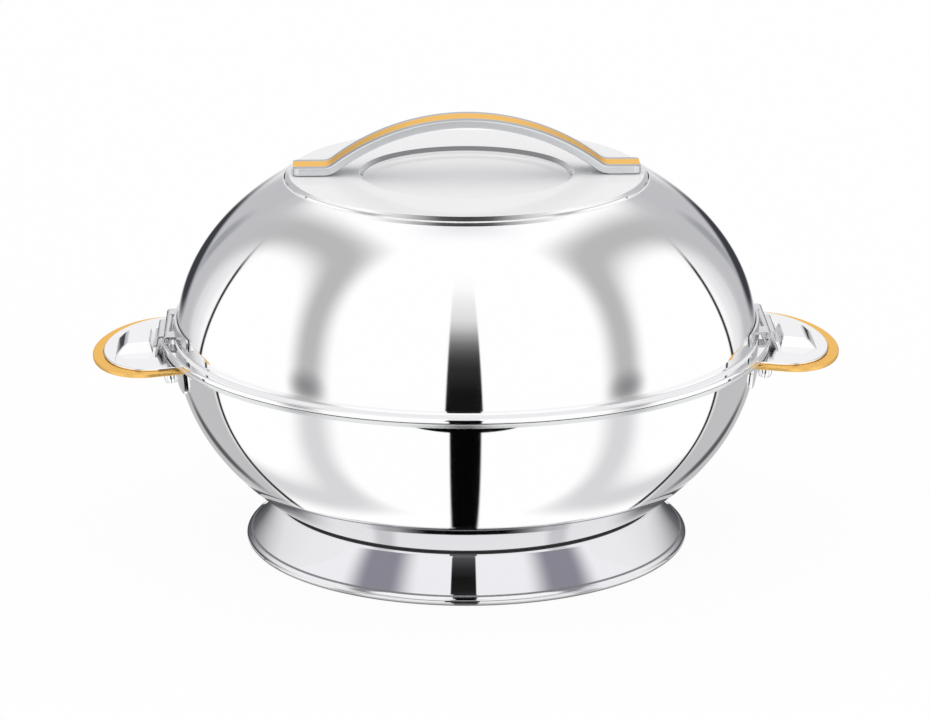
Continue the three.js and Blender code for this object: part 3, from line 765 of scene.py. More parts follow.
@dataclass(frozen=True)
class Finishes:
    """The materials of the whole casserole."""

    seam_shaded: Material
    domed: Material
    pressed: Material
    brushed: Material
    tumbled: Material
    spun: Material
    gilt: Material
    foam: Material
    plastic: Material

    @classmethod
    def make(cls, foot: tuple[Line, ...], lid: tuple[Line, ...]) -> "Finishes":
        """Makes them all; the dull lines are the foot's painted shade and the lid's pale satin bands."""
        kinds = (
            MirrorSteel(name="stainless_steel_mirror_buffed_painted_seam_shade", lines=foot),
            MirrorSteel(name="stainless_steel_mirror_buffed_satin_top", lines=lid),
            MirrorSteel(name="stainless_steel_pressed_buffed", roughness=0.08, haziest=0.14),
            BrushedSteel(),
            BrushedSteel(
                name="stainless_steel_stamped_tumbled",
                tone="#D8D8DA",
                roughness=0.22,
                highlight_tone=None,
                grain_length=0.35,
            ),
            SpunSteel(),
            GiltTrim(),
            PouredFoam(),
            MouldedPlug(),
        )
        return cls(*(kind.make() for kind in kinds))


@dataclass(frozen=True)
class Viewpoint:
    """The camera: where the photograph was taken from. Only its clipping distances are in metres."""

    lens: float = 157.34
    sensor: float = 36.0
    distance: float = 1889.4
    elevation: float = 16.77
    yaw: float = 1.8
    aim_height: float = 84.1
    aim_side: float = -0.66
    nearest: float = 0.1
    farthest: float = 30.0

    def place(self) -> None:
        """Puts the camera in the scene."""
        data = bpy.data.cameras.new("viewpoint")
        data.lens = self.lens
        data.sensor_width = self.sensor
        data.clip_start, data.clip_end = self.nearest, self.farthest
        camera = bpy.data.objects.new("viewpoint", data)
        bpy.context.scene.collection.objects.link(camera)
        up, side = math.radians(self.elevation), math.radians(self.yaw)
        aim = Vector((math.cos(side), -math.sin(side), 0)) * self.aim_side + Vector((0, 0, self.aim_height))
        back = Vector((-math.sin(side) * math.cos(up), -math.cos(side) * math.cos(up), math.sin(up)))
        camera.location = (aim + back * self.distance) * MM
        camera.rotation_euler = (math.radians(90) - up, 0, -side)
        bpy.context.scene.camera = camera


@dataclass(frozen=True)
class Card:
    """A reflector of the studio as the steel sees it: an ellipse of azimuth and elevation, or its rim.

    Azimuths are degrees either way from the camera, elevations degrees above the table. Opacity follows the
    distance from the centre, as a share of the half sizes. A gate fades the card in between two angles.
    """

    name: str
    tone: str
    centre: Pair
    half: Pair
    opacity: Stops
    azimuth_gates: Stops = ()
    elevation_gates: Stops = ()


STRIP_TONE = "#050506"
GREY_RING = ((0.0, 0.0), (0.74, 0.0), (0.98, 1.0), (1.04, 1.0), (1.3, 0.0))
FINE_LINE = ((0.0, 0.0), (0.957, 0.0), (0.985, 1.0), (1.015, 1.0), (1.043, 0.0))
BROAD = ((0.0, 1.0), (0.9, 1.0), (1.0, 0.0))
SOFT = ((0.0, 1.0), (1.0, 0.0))
DOME_ONLY = (-16, -15)
BOWL_ONLY = (-15, -16)

CARDS = (
    Card("far wall", "#F0F0F1", (180, 10), (32, 45), BROAD, elevation_gates=(DOME_ONLY,)),
    Card("ceiling seam", "#EAEAEC", (180, 75), (60, 10), SOFT),
    Card("upper flag", "#B9B8B8", (105, -3), (41, 59), GREY_RING, elevation_gates=((-22, -10),)),
    Card("lower flag", "#D6D6D7", (105, -3), (43, 59), GREY_RING, elevation_gates=((-10, -22),)),
    Card("flag foot", "#8C8C8E", (64, -7), (11, 15), SOFT, elevation_gates=((-17, -14),)),
    Card("upper back haze", "#BDBDC0", (158, 5), (32, 45),
         ((0.0, 1.0), (0.4, 1.0), (0.57, 0.9), (0.72, 0.6), (0.89, 0.4), (1.06, 0.1), (1.15, 0.0)),
         azimuth_gates=((172, 163),), elevation_gates=(DOME_ONLY, (42, 30))),
    Card("lower back haze", "#BDBDBE", (150, -11), (34, 34), BROAD, elevation_gates=(BOWL_ONLY,)),
    Card("dark door", "#3A3C41", (161, -6), (13, 9), ((0.0, 1.0), (0.5, 1.0), (1.0, 0.0)),
         elevation_gates=(DOME_ONLY,)),
    Card("dark door post", "#93959A", (152, 6), (4.5, 12), ((0.0, 0.8), (0.3, 0.8), (1.0, 0.0)),
         elevation_gates=(DOME_ONLY,)),
    Card("lower swirl", "#5A5B5D", (155, -29), (6.5, 11), ((0.0, 1.0), (0.35, 1.0), (1.0, 0.0)),
         elevation_gates=(BOWL_ONLY,)),
    Card("upper seam", "#26272A", (152, 5), (30, 30), FINE_LINE, azimuth_gates=((153, 146),),
         elevation_gates=(DOME_ONLY, (31, 20))),
    Card("lower seam", "#26272A", (150, -11), (34, 34), FINE_LINE, azimuth_gates=((156, 150),),
         elevation_gates=(BOWL_ONLY,)),
    Card("table edge", STRIP_TONE, (0, -17.5), (23.5, 6.9), ((0.0, 1.0), (0.96, 1.0), (1.0, 0.0)),
         elevation_gates=((-18.8, -19.4),)),
)
STRIP_SHADE = (
    (-1.0, 1.0), (-0.31, 1.0), (-0.28, 0.994), (0.0, 0.994), (0.32, 0.974), (0.42, 0.95), (0.5, 0.91),
    (0.58, 0.82), (0.656, 0.66), (0.72, 0.45), (0.78, 0.28), (0.876, 0.17), (0.944, 0.03), (0.98, 0.0),
)


@dataclass(frozen=True)
class Strip:
    """The black strip that stands in front of the object, as wide as the steel shows it.

    Its half width and its place are shares of the unit direction across the camera's line. The dome and the
    bowl are convex to different heights, so each sees it in its own width.
    """

    tone: str = STRIP_TONE
    bowl_half: Pair = (0.0519, 0.0517)
    bowl_shift: float = 0.006
    bowl_end: Pair = (-0.36, -0.31)
    dome_half: Pair = (0.0502, 0.0686)
    dome_shift: float = 0.0155
    dome_narrowing: float = -0.02
    dome_from: Pair = (-0.3, -0.25)
    soft: float = 0.006


@dataclass(frozen=True)
class Collar:
    """A flat ring round the bowl's lower belly that is there only for what looks up at it: the foot's flare.

    It is pale, with two grey flags and the front strip drawn on it. Turns are degrees from the front.
    """

    height: float = 30.0
    inner: float = 102.4
    outer: float = 165.0
    pale_tone: str = "#F6F6F9"
    flag_tone: str = "#8C8B96"
    flag_turn: float = 32.0
    flag_half: float = 4.0
    flag_soft: float = 10.5
    flag_end: Pair = (136.0, 126.0)
    strip_tone: str = STRIP_TONE
    strip_turn: float = -2.75
    strip_half: float = 3.95
    strip_soft: float = 0.4
    strip_shade: Stops = (
        (102.4, 0.978), (104.0, 0.987), (108.0, 0.992), (111.0, 0.972), (114.2, 0.927), (116.3, 0.9),
        (119.0, 0.87), (136.0, 0.87), (139.0, 0.995), (165.0, 0.995),
    )


@dataclass(frozen=True)
class Screen:
    """A low screen round the foot, seen only from the inside: what the flare shows the bowl above it.

    It is pale, with the front strip below and above its middle, a dark line between that is a painted contact
    shadow of the foot on the floor, and shaded sides.
    """

    radius: float = 108.0
    low: float = 1.0
    front_low: float = 3.0
    soft: float = 0.05
    high: float = 24.5
    pale_tone: str = "#F3F3F5"
    flag_tone: str = "#D4D4D7"
    flag_turn: float = 31.0
    flag_half: float = 1.5
    flag_soft: float = 4.5
    side_tone: str = "#45464B"
    side_from: Pair = (50.0, 74.0)
    side_shade: Stops = (
        (1.0, 1.0), (3.5, 0.98), (7.2, 0.9), (11.0, 0.6), (14.8, 0.3), (18.0, 0.1), (24.5, 0.0),
    )
    strip_tone: str = STRIP_TONE
    strip_turn: float = -2.9
    strip_half: float = 4.45
    strip_soft: float = 0.3
    strip_shade: Stops = (
        (3.0, 1.0), (11.35, 1.0), (11.5, 0.0), (17.4, 0.0), (17.6, 0.87), (24.5, 0.87),
    )
    line_shade: Stops = (
        (3.0, 0.0), (6.8, 0.0), (8.6, 1.0), (11.3, 1.0), (11.5, 0.0), (12.0, 0.0),
    )
    line_turn: float = -1.8
    line_end: Pair = (40.0, 12.0)


@dataclass(frozen=True)
class Shade:
    """A plain band round the axis, seen from one side only, as strong as its turn from a centre says."""

    name: str
    start: Pair
    end: Pair
    tone: str
    centre: float
    opacity: Stops


@dataclass(frozen=True)
class Studio:
    """A white tent with grey flags and one narrow black strip in front, and a pale floor."""

    yaw: float
    strip: Strip = Strip()
    collar: Collar = Collar()
    screen: Screen = Screen()
    shades: tuple[Shade, ...] = ()
    white: float = 1.09
    floor_size: float = 9000.0
    floor_tone: str = "#FFFFFF"
    floor_glow: float = 0.93

    def build(self) -> None:
        """Makes the world, the floor and the rings that the foot and the belly see."""
        self._tent()
        self._floor()
        self._foot_collar()
        self._foot_screen()
        for shade in self.shades:
            self._shade(shade)
        bpy.context.scene.view_settings.view_transform = "Standard"

    def _tent(self) -> None:
        """The world: white for the camera, and the tent for all that the object reflects."""
        world = bpy.data.worlds.new("tent")
        world.use_nodes = True
        bpy.context.scene.world = world
        tree = world.node_tree
        tree.nodes.clear()
        place = add_node(tree, "ShaderNodeTexCoord")
        spin = {"Vector": place.outputs["Generated"], "Angle": math.radians(self.yaw)}
        facing = add_node(tree, "ShaderNodeVectorRotate", spin, rotation_type="Z_AXIS")
        parts = add_node(tree, "ShaderNodeSeparateXYZ", {"Vector": facing.outputs["Vector"]})
        across, away, up = (parts.outputs[axis] for axis in "XYZ")
        nearer = add_node(tree, "ShaderNodeMath", {0: away, 1: -1.0}, operation="MULTIPLY").outputs["Value"]
        turn = add_node(tree, "ShaderNodeMath", {0: across, 1: nearer}, operation="ARCTAN2").outputs["Value"]
        width = add_node(tree, "ShaderNodeMath", {0: turn}, operation="ABSOLUTE").outputs["Value"]
        azimuth = add_node(tree, "ShaderNodeMath", {0: width}, operation="DEGREES").outputs["Value"]
        rise = add_node(tree, "ShaderNodeMath", {0: up}, operation="ARCSINE").outputs["Value"]
        elevation = add_node(tree, "ShaderNodeMath", {0: rise}, operation="DEGREES").outputs["Value"]
        colour = linear("#FFFFFF")
        for card in CARDS:
            colour = self._laid(tree, card, azimuth, elevation, colour)
        colour = self._stripped(tree, across, nearer, up, colour)
        seen = add_node(tree, "ShaderNodeBackground", {"Color": (1, 1, 1, 1), "Strength": 1.0})
        tent = add_node(tree, "ShaderNodeBackground", {"Color": colour, "Strength": self.white})
        ray = add_node(tree, "ShaderNodeLightPath")
        halves = {0: ray.outputs["Is Camera Ray"], 1: tent.outputs[0], 2: seen.outputs[0]}
        both = add_node(tree, "ShaderNodeMixShader", halves)
        add_node(tree, "ShaderNodeOutputWorld", {"Surface": both.outputs["Shader"]})

    @staticmethod
    def _laid(tree: Tree, card: Card, azimuth: Socket, elevation: Socket, under: Colour) -> Socket:
        """Lays a card over the tent's colour.

        Args:
            tree: the world's nodes.
            card: the card.
            azimuth: degrees from the camera, either way.
            elevation: degrees above the table.
            under: the colour so far.

        Returns:
            The colour with the card over it.
        """
        spot = add_node(tree, "ShaderNodeCombineXYZ", {"X": azimuth, "Y": elevation})
        for amount, how in (((*card.centre, 0), "SUBTRACT"), ((*card.half, 1), "DIVIDE")):
            spot = add_node(tree, "ShaderNodeVectorMath", {0: spot.outputs[0], 1: amount}, operation=how)
        distance = add_node(tree, "ShaderNodeVectorMath", {0: spot.outputs[0]}, operation="LENGTH")
        shown = ramped(tree, distance.outputs["Value"], card.opacity, ease=True)
        gates = [rising(tree, azimuth, *gate) for gate in card.azimuth_gates]
        gates += [rising(tree, elevation, *gate) for gate in card.elevation_gates]
        return over(tree, under, card.tone, shown, *gates)

    def _stripped(self, tree: Tree, across: Socket, nearer: Socket, up: Socket, under: Socket) -> Socket:
        """Lays the black strip in front of the object: upright, then flat along the table.

        Args:
            tree: the world's nodes.
            across: the direction's share to the right of the camera's line.
            nearer: its share towards the camera.
            up: its share upwards.
            under: the colour so far.

        Returns:
            The colour with the strip over it.
        """

        def straight(value: Socket, slope: float, offset: float | Socket) -> Socket:
            """A value times a slope, plus an offset."""
            line = {0: value, 1: slope, 2: offset}
            return add_node(tree, "ShaderNodeMath", line, operation="MULTIPLY_ADD").outputs[0]

        s = self.strip
        share = rising(tree, up, *s.dome_from)
        bowl = straight(nearer, s.bowl_half[1], s.bowl_half[0])
        dome = straight(up, s.dome_narrowing, straight(nearer, s.dome_half[1], s.dome_half[0]))
        half = add_node(tree, "ShaderNodeMix", {0: share, 2: bowl, 3: dome}).outputs[0]
        shift = straight(share, s.dome_shift - s.bowl_shift, s.bowl_shift)
        centred = add_node(tree, "ShaderNodeMath", {0: across, 1: shift}, operation="ADD")
        off = add_node(tree, "ShaderNodeMath", {0: centred.outputs[0]}, operation="ABSOLUTE")
        past = add_node(tree, "ShaderNodeMath", {0: off.outputs[0], 1: half}, operation="SUBTRACT")
        inside = rising(tree, past.outputs[0], s.soft, -s.soft)
        shade = ramped(tree, up, STRIP_SHADE)
        return over(tree, under, s.tone, inside, shade, rising(tree, nearer, *s.bowl_end))

    def _floor(self) -> None:
        """The pale floor: it keeps the shadow, and the steel sees the tent through it."""
        half = self.floor_size / 2
        places = [(-half, -half), (half, -half), (half, half), (-half, half)]
        floor = upright(Facets([Vector((x, y, 0)) * MM for x, y in places], [(0, 1, 2, 3)]), "floor")
        material, tree = bare_material("floor_paper_matt")
        paper = add_node(tree, "ShaderNodeBsdfDiffuse", {"Color": linear(self.floor_tone)})
        glow = add_node(tree, "ShaderNodeEmission", {"Color": (1, 1, 1, 1), "Strength": 1.0})
        halves = {0: self.floor_glow, 1: paper.outputs[0], 2: glow.outputs[0]}
        both = add_node(tree, "ShaderNodeMixShader", halves)
        add_node(tree, "ShaderNodeOutputMaterial", {"Surface": both.outputs["Shader"]})
        floor.data.materials.append(material)
        floor.visible_glossy = False

    def _band(self, name: str, start: Pair, end: Pair, material: Material) -> None:
        """A band round the axis that only the steel's reflections see.

        Args:
            name: the band's name.
            start: radius and height of one edge.
            end: radius and height of the other; from start to end the band faces left.
            material: what it shows.
        """
        count = RING_STEPS
        turns = [math.tau * i / count for i in range(count)]
        corners = [Vector((r * math.cos(a), r * math.sin(a), z)) * MM for r, z in (start, end) for a in turns]
        faces = [(i, count + i, count + (i + 1) % count, (i + 1) % count) for i in range(count)]
        band = upright(Facets(corners, faces), name, closed=False)
        band.data.materials.append(material)
        band.visible_camera = False
        band.visible_diffuse = False
        band.visible_shadow = False

    @staticmethod
    def _polar(tree: Tree) -> tuple[Socket, ...]:
        """Millimetres from the axis and of height, and degrees from the front, of a place on a band."""
        place = add_node(tree, "ShaderNodeTexCoord").outputs["Object"]
        sized = add_node(tree, "ShaderNodeVectorMath", {0: place, "Scale": 1 / MM}, operation="SCALE")
        x, y, z = add_node(tree, "ShaderNodeSeparateXYZ", {"Vector": sized.outputs[0]}).outputs
        near = add_node(tree, "ShaderNodeMath", {0: y, 1: -1.0}, operation="MULTIPLY").outputs[0]
        turn = add_node(tree, "ShaderNodeMath", {0: x, 1: near}, operation="ARCTAN2").outputs[0]
        degrees = add_node(tree, "ShaderNodeMath", {0: turn}, operation="DEGREES").outputs[0]
        plan = {0: sized.outputs[0], 1: (1, 1, 0)}
        flat = add_node(tree, "ShaderNodeVectorMath", plan, operation="MULTIPLY")
        length = add_node(tree, "ShaderNodeVectorMath", {0: flat.outputs[0]}, operation="LENGTH")
        return length.outputs["Value"], z, degrees

    @staticmethod
    def _one_sided(material: Material, colour: Colour, *opacity: Socket) -> Material:
        """Ends a band's material: a glow of the colour on its face, and nothing on its back."""
        tree = material.node_tree
        side = add_node(tree, "ShaderNodeNewGeometry")
        face = add_node(tree, "ShaderNodeMath", {0: 1.0, 1: side.outputs["Backfacing"]}, operation="SUBTRACT")
        glow = add_node(tree, "ShaderNodeEmission", {"Color": colour, "Strength": 1.0})
        clear = add_node(tree, "ShaderNodeBsdfTransparent")
        shown = together(tree, face.outputs[0], *opacity)
        both = add_node(tree, "ShaderNodeMixShader", {0: shown, 1: clear.outputs[0], 2: glow.outputs[0]})
        add_node(tree, "ShaderNodeOutputMaterial", {"Surface": both.outputs["Shader"]})
        return material

    def _foot_collar(self) -> None:
        """The ring that the foot's flare sees."""
        c = self.collar
        material, tree = bare_material("card_foot_collar")
        radius, _, turn = self._polar(tree)
        width = add_node(tree, "ShaderNodeMath", {0: turn}, operation="ABSOLUTE").outputs[0]
        flag = within(tree, width, c.flag_turn, c.flag_half, c.flag_soft)
        colour = over(tree, linear(c.pale_tone), c.flag_tone, flag, rising(tree, radius, *c.flag_end))
        strip = within(tree, turn, c.strip_turn, c.strip_half, c.strip_soft)
        colour = over(tree, colour, c.strip_tone, strip, ramped(tree, radius, c.strip_shade))
        self._band("foot_collar", (c.outer, c.height), (c.inner, c.height), self._one_sided(material, colour))

    def _foot_screen(self) -> None:
        """The screen that the bowl sees in the flare."""
        s = self.screen
        material, tree = bare_material("card_foot_screen")
        _, height, turn = self._polar(tree)
        width = add_node(tree, "ShaderNodeMath", {0: turn}, operation="ABSOLUTE").outputs[0]
        flag = within(tree, width, s.flag_turn, s.flag_half, s.flag_soft)
        colour = over(tree, linear(s.pale_tone), s.flag_tone, flag)
        side = together(tree, rising(tree, width, *s.side_from), ramped(tree, height, s.side_shade))
        colour = over(tree, colour, s.side_tone, side)
        strip = within(tree, turn, s.strip_turn, s.strip_half, s.strip_soft)
        colour = over(tree, colour, s.strip_tone, strip, ramped(tree, height, s.strip_shade))
        # The dark line: a painted contact shadow of the foot on the floor.
        line = within(tree, turn, s.line_turn, s.line_end[1], s.line_end[0] - s.line_end[1])
        colour = over(tree, colour, s.strip_tone, line, ramped(tree, height, s.line_shade))
        front = rising(tree, height, s.front_low, s.front_low + s.soft)
        shown = add_node(tree, "ShaderNodeMath", {0: front, 1: side}, operation="MAXIMUM").outputs[0]
        material = self._one_sided(material, colour, shown)
        self._band("foot_screen", (s.radius, s.low), (s.radius, s.high), material)

    def _shade(self, shade: Shade) -> None:
        """Makes a plain band."""
        material, tree = bare_material(f"card_{shade.name}")
        _, _, turn = self._polar(tree)
        aside = add_node(tree, "ShaderNodeMath", {0: turn, 1: shade.centre}, operation="SUBTRACT").outputs[0]
        wrapped = add_node(tree, "ShaderNodeMath", {0: aside, 1: 180.0, 2: -180.0}, operation="WRAP")
        width = add_node(tree, "ShaderNodeMath", {0: wrapped.outputs[0]}, operation="ABSOLUTE").outputs[0]
        shown = self._one_sided(material, linear(shade.tone), ramped(tree, width, shade.opacity))
        self._band(shade.name, shade.start, shade.end, shown)


@dataclass(frozen=True)
class Vessel:
    """The sizes that the bowl, the lid and the handles share."""

    sheet: float = 0.7
    seat: float = 0.3
    run: float = 0.1
    foot_height: float = 20.6
    bowl_radius: float = 134.6
    bowl_floor_share: float = 0.75
    base_rim_height: float = 97.4
    rim_width: float = 6.2
    base_rim_inset: float = 0.4
    wall_space: float = 13.6
    plug_radius: float = 7.7
    plug_overlap: float = 2.3
    plug_head: float = 0.8
    plug_round: float = 0.5
    plug_steps: int = 64
    dome_inset: float = 0.4
    dome_semi_height: float = 93.1
    top_step_radius: float = 84.0
    top_step_rise: float = 2.2
    clip_over_rim: float = 1.3
    clip_dip_run: float = 0.8
    clip_toe: float = 1.4
    clip_width: float = 28.0
    bowl_steps: int = 64
    dome_steps: int = 72

    @property
    def bowl_floor(self) -> float:
        """Height of the bowl's floor, outside."""
        return self.foot_height + self.seat

    @property
    def bowl_widest(self) -> float:
        """Height at which the bowl is widest, under its flange."""
        return self.base_rim_height - 2 * self.sheet - self.seat

    @property
    def bowl_semi_height(self) -> float:
        """Half height of the bowl's ellipse."""
        return (self.bowl_widest - self.bowl_floor) / self.bowl_floor_share

    @property
    def bowl_floor_radius(self) -> float:
        """Radius at which the bowl's wall meets its floor."""
        return self.bowl_radius * ellipse_share(self.bowl_floor_share)

    @property
    def mouth_radius(self) -> float:
        """Radius of the bowl's mouth."""
        return self.bowl_radius - self.wall_space

    @property
    def rim_radius(self) -> float:
        """Radius of the lid's rim."""
        return self.bowl_radius + self.rim_width

    @property
    def base_rim_radius(self) -> float:
        """Radius of the bowl's rim."""
        return self.rim_radius - self.base_rim_inset

    @property
    def dome_radius(self) -> float:
        """Radius of the dome at the rim."""
        return self.bowl_radius - self.dome_inset

    @property
    def lid_hem(self) -> float:
        """Height of the lid's lowest edge."""
        return self.base_rim_height + self.seat

    @property
    def liner_flange(self) -> float:
        """Height of the lid liner's flange."""
        return self.lid_hem + self.seat

    @property
    def lid_rim(self) -> float:
        """Height of the lid's rim."""
        return self.liner_flange + 2 * self.sheet + self.seat

    @property
    def step_height(self) -> float:
        """Height at which the dome meets its stepped top."""
        return self.lid_rim + self.dome_semi_height * ellipse_share(self.top_step_radius / self.dome_radius)

    @property
    def lid_top(self) -> float:
        """Height of the lid's flat top."""
        return self.step_height + self.top_step_rise

    @property
    def toe_end(self) -> float:
        """How far out the clip's toe ends."""
        return self.rim_radius + self.clip_over_rim + self.clip_dip_run + self.clip_toe

    def bowl_wall(self) -> list[Bend]:
        """Outer face of the bowl from its floor's edge up to its neck."""
        shape = (self.bowl_radius, self.bowl_semi_height, self.bowl_widest)
        return ellipse_run(*shape, self.bowl_floor, self.bowl_widest - self.sheet, self.bowl_steps)

    def dome_wall(self) -> list[Bend]:
        """Outer face of the dome from its stepped top down to its neck."""
        shape = (self.dome_radius, self.dome_semi_height, self.lid_rim)
        return ellipse_run(*shape, self.step_height, self.lid_rim + self.sheet, self.dome_steps)

    def bowl_keep_out(self, clearance: float) -> Facets:
        """The bowl and what stands above it, grown by a clearance for the pieces outside it."""
        top = self.lid_rim + self.dome_semi_height / 2
        edge = self.bowl_radius + clearance
        ends = [Vector((edge, self.bowl_widest)), Vector((edge, top)), Vector((0, top))]
        return turned([Vector((0, self.bowl_floor)), *beside(self.bowl_wall(), -clearance), *ends])

    def dome_keep_out(self, clearance: float) -> Facets:
        """The dome grown by a clearance."""
        low = self.lid_rim - CUT_OVERRUN
        foot = [Vector((0, low)), Vector((self.dome_radius + clearance, low))]
        wall = reversed(beside(self.dome_wall(), clearance))
        return turned([*foot, *wall, Vector((0, self.step_height))])


@dataclass(frozen=True)
class Base:
    """The foot ring, the bowl's two skins, the foam between them and its plug."""

    vessel: Vessel
    foot_sheet: float = 1.0
    foot_spread: float = 14.0
    bead_section: float = 1.6
    bead_start: float = 65.0
    bead_lip: float = 2.4
    bead_lip_share: float = 1.6
    flange_width: float = 13.0
    flare_hollow: float = 1.3
    floor_space: float = 14.7
    food_floor_share: float = 0.816
    mouth_round: float = 1.2
    rim_roll: float = 1.1
    bead_steps: int = 20
    flare_steps: int = 24

    def build(self, finishes: Finishes) -> None:
        """Makes and dresses every piece of the base."""
        seam_shaded, spun = finishes.seam_shaded, finishes.spun
        make_piece("foot_ring_spun", self._foot(), seam_shaded, "base", "foot_ring", Slot.POLISHED)
        make_piece("bowl_outer_skin", self._outer_skin(), seam_shaded, "base", "base_outer_shell", Slot.POLISHED)
        make_piece("bowl_inner_skin", self._inner_skin(), spun, "base", "base_inner_bowl", Slot.SATIN)
        plug = fill_plug(self.vessel, self.vessel.bowl_floor)
        make_piece("bowl_plug_moulded", plug, finishes.plastic, "base", "base_fill_plug", Slot.PLASTIC)
        make_piece("bowl_foam_fill", self._foam(), finishes.foam, "base", "base_insulation", Slot.FOAM)

    def _foot(self) -> Facets:
        """The foot ring: flange, slightly hollow flare and rolled bead."""
        v = self.vessel
        bead_r = v.bowl_floor_radius + self.foot_spread - self.bead_section
        bead = arc_run((bead_r, self.bead_section), self.bead_section, self.bead_start, -90, self.bead_steps)
        top = Vector((v.bowl_floor_radius, v.foot_height - self.foot_sheet / 2))
        flare = []
        for i in range(1, self.flare_steps):
            share = i / self.flare_steps
            hollow = 4 * share * (1 - share) * self.flare_hollow
            spot = top.lerp(bead[0].point, share) - Vector((hollow, hollow))
            flare.append(Bend(spot.x, spot.y, 0))
        lip_r = bead_r - self.bead_section * self.bead_lip_share
        path = [
            Bend(v.bowl_floor_radius - self.flange_width, v.foot_height),
            Bend(v.bowl_floor_radius, v.foot_height, FOLD_ROUND),
            *flare,
            *bead,
            Bend(lip_r, 0, FOLD_ROUND),
            Bend(lip_r, self.bead_lip),
        ]
        return turned(softened(sheet(path, -self.foot_sheet)))

    def _outer_skin(self) -> Facets:
        """The bowl's outer skin, from its filling hole up to its flange."""
        v = self.vessel
        path = [
            Bend(v.plug_radius + v.seat, v.bowl_floor),
            *v.bowl_wall(),
            Bend(v.bowl_radius + v.sheet, v.bowl_widest, SHEET_ROUND),
            Bend(v.base_rim_radius - v.sheet - 2 * v.seat, v.bowl_widest),
        ]
        return turned(softened(sheet(path, v.sheet)))

    @property
    def food_floor(self) -> float:
        """Height of the inner skin's flat floor."""
        return self.vessel.bowl_floor + self.floor_space

    def _food_wall(self) -> list[Bend]:
        """Inner face of the inner skin, from its floor's edge up to its mouth."""
        wall_top = self.vessel.base_rim_height - self.mouth_round
        semi = (wall_top - self.food_floor) / self.food_floor_share
        return ellipse_run(self.vessel.mouth_radius, semi, wall_top, self.food_floor, wall_top, WALL_STEPS)

    def _foam(self) -> Facets:
        """The foam between the bowl's two skins, clear of both."""
        v = self.vessel
        inset = v.sheet + v.seat
        top = v.base_rim_height - inset - v.seat
        outer = beside([Bend(0, v.bowl_floor, 0), *v.bowl_wall()], inset)
        inner = beside([Bend(0, self.food_floor, 0), *self._food_wall()[:-1]], -inset)
        neck = v.mouth_radius + inset + self.mouth_round
        ends = [Vector((v.bowl_radius - inset, top)), Vector((neck, top))]
        return turned([*outer, *ends, *reversed(inner)])

    def _inner_skin(self) -> Facets:
        """The bowl's inner skin, with its flange hemmed over the outer skin's."""
        v = self.vessel
        path = [
            Bend(0, self.food_floor, 0),
            *self._food_wall(),
            Bend(v.mouth_radius, v.base_rim_height, self.mouth_round),
            Bend(v.base_rim_radius, v.base_rim_height, self.rim_roll),
            Bend(v.base_rim_radius, v.bowl_widest - v.seat),
        ]
        return turned(softened(sheet(path, -v.sheet)))


def fill_plug(vessel: Vessel, face: float) -> Facets:
    """The plug of a filling hole in the skin whose lower face is at a height."""
    head = face - vessel.seat
    wide = vessel.plug_radius + vessel.plug_overlap
    low = head - vessel.plug_head
    profile = [
        Bend(0, low, 0),
        Bend(wide, low, vessel.plug_round),
        Bend(wide, head),
        Bend(vessel.plug_radius, head),
        Bend(vessel.plug_radius, face + vessel.sheet),
        Bend(0, face + vessel.sheet, 0),
    ]
    return turned(softened(profile), vessel.plug_steps)


def dress_node(name: str, finish: Material, slot: Slot) -> None:
    """Gives a CAD node that stays shown its finish."""
    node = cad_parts[name]
    node.data.materials.clear()
    node.data.materials.append(finish)
    LOG.info("%s: kept from the frame", name)


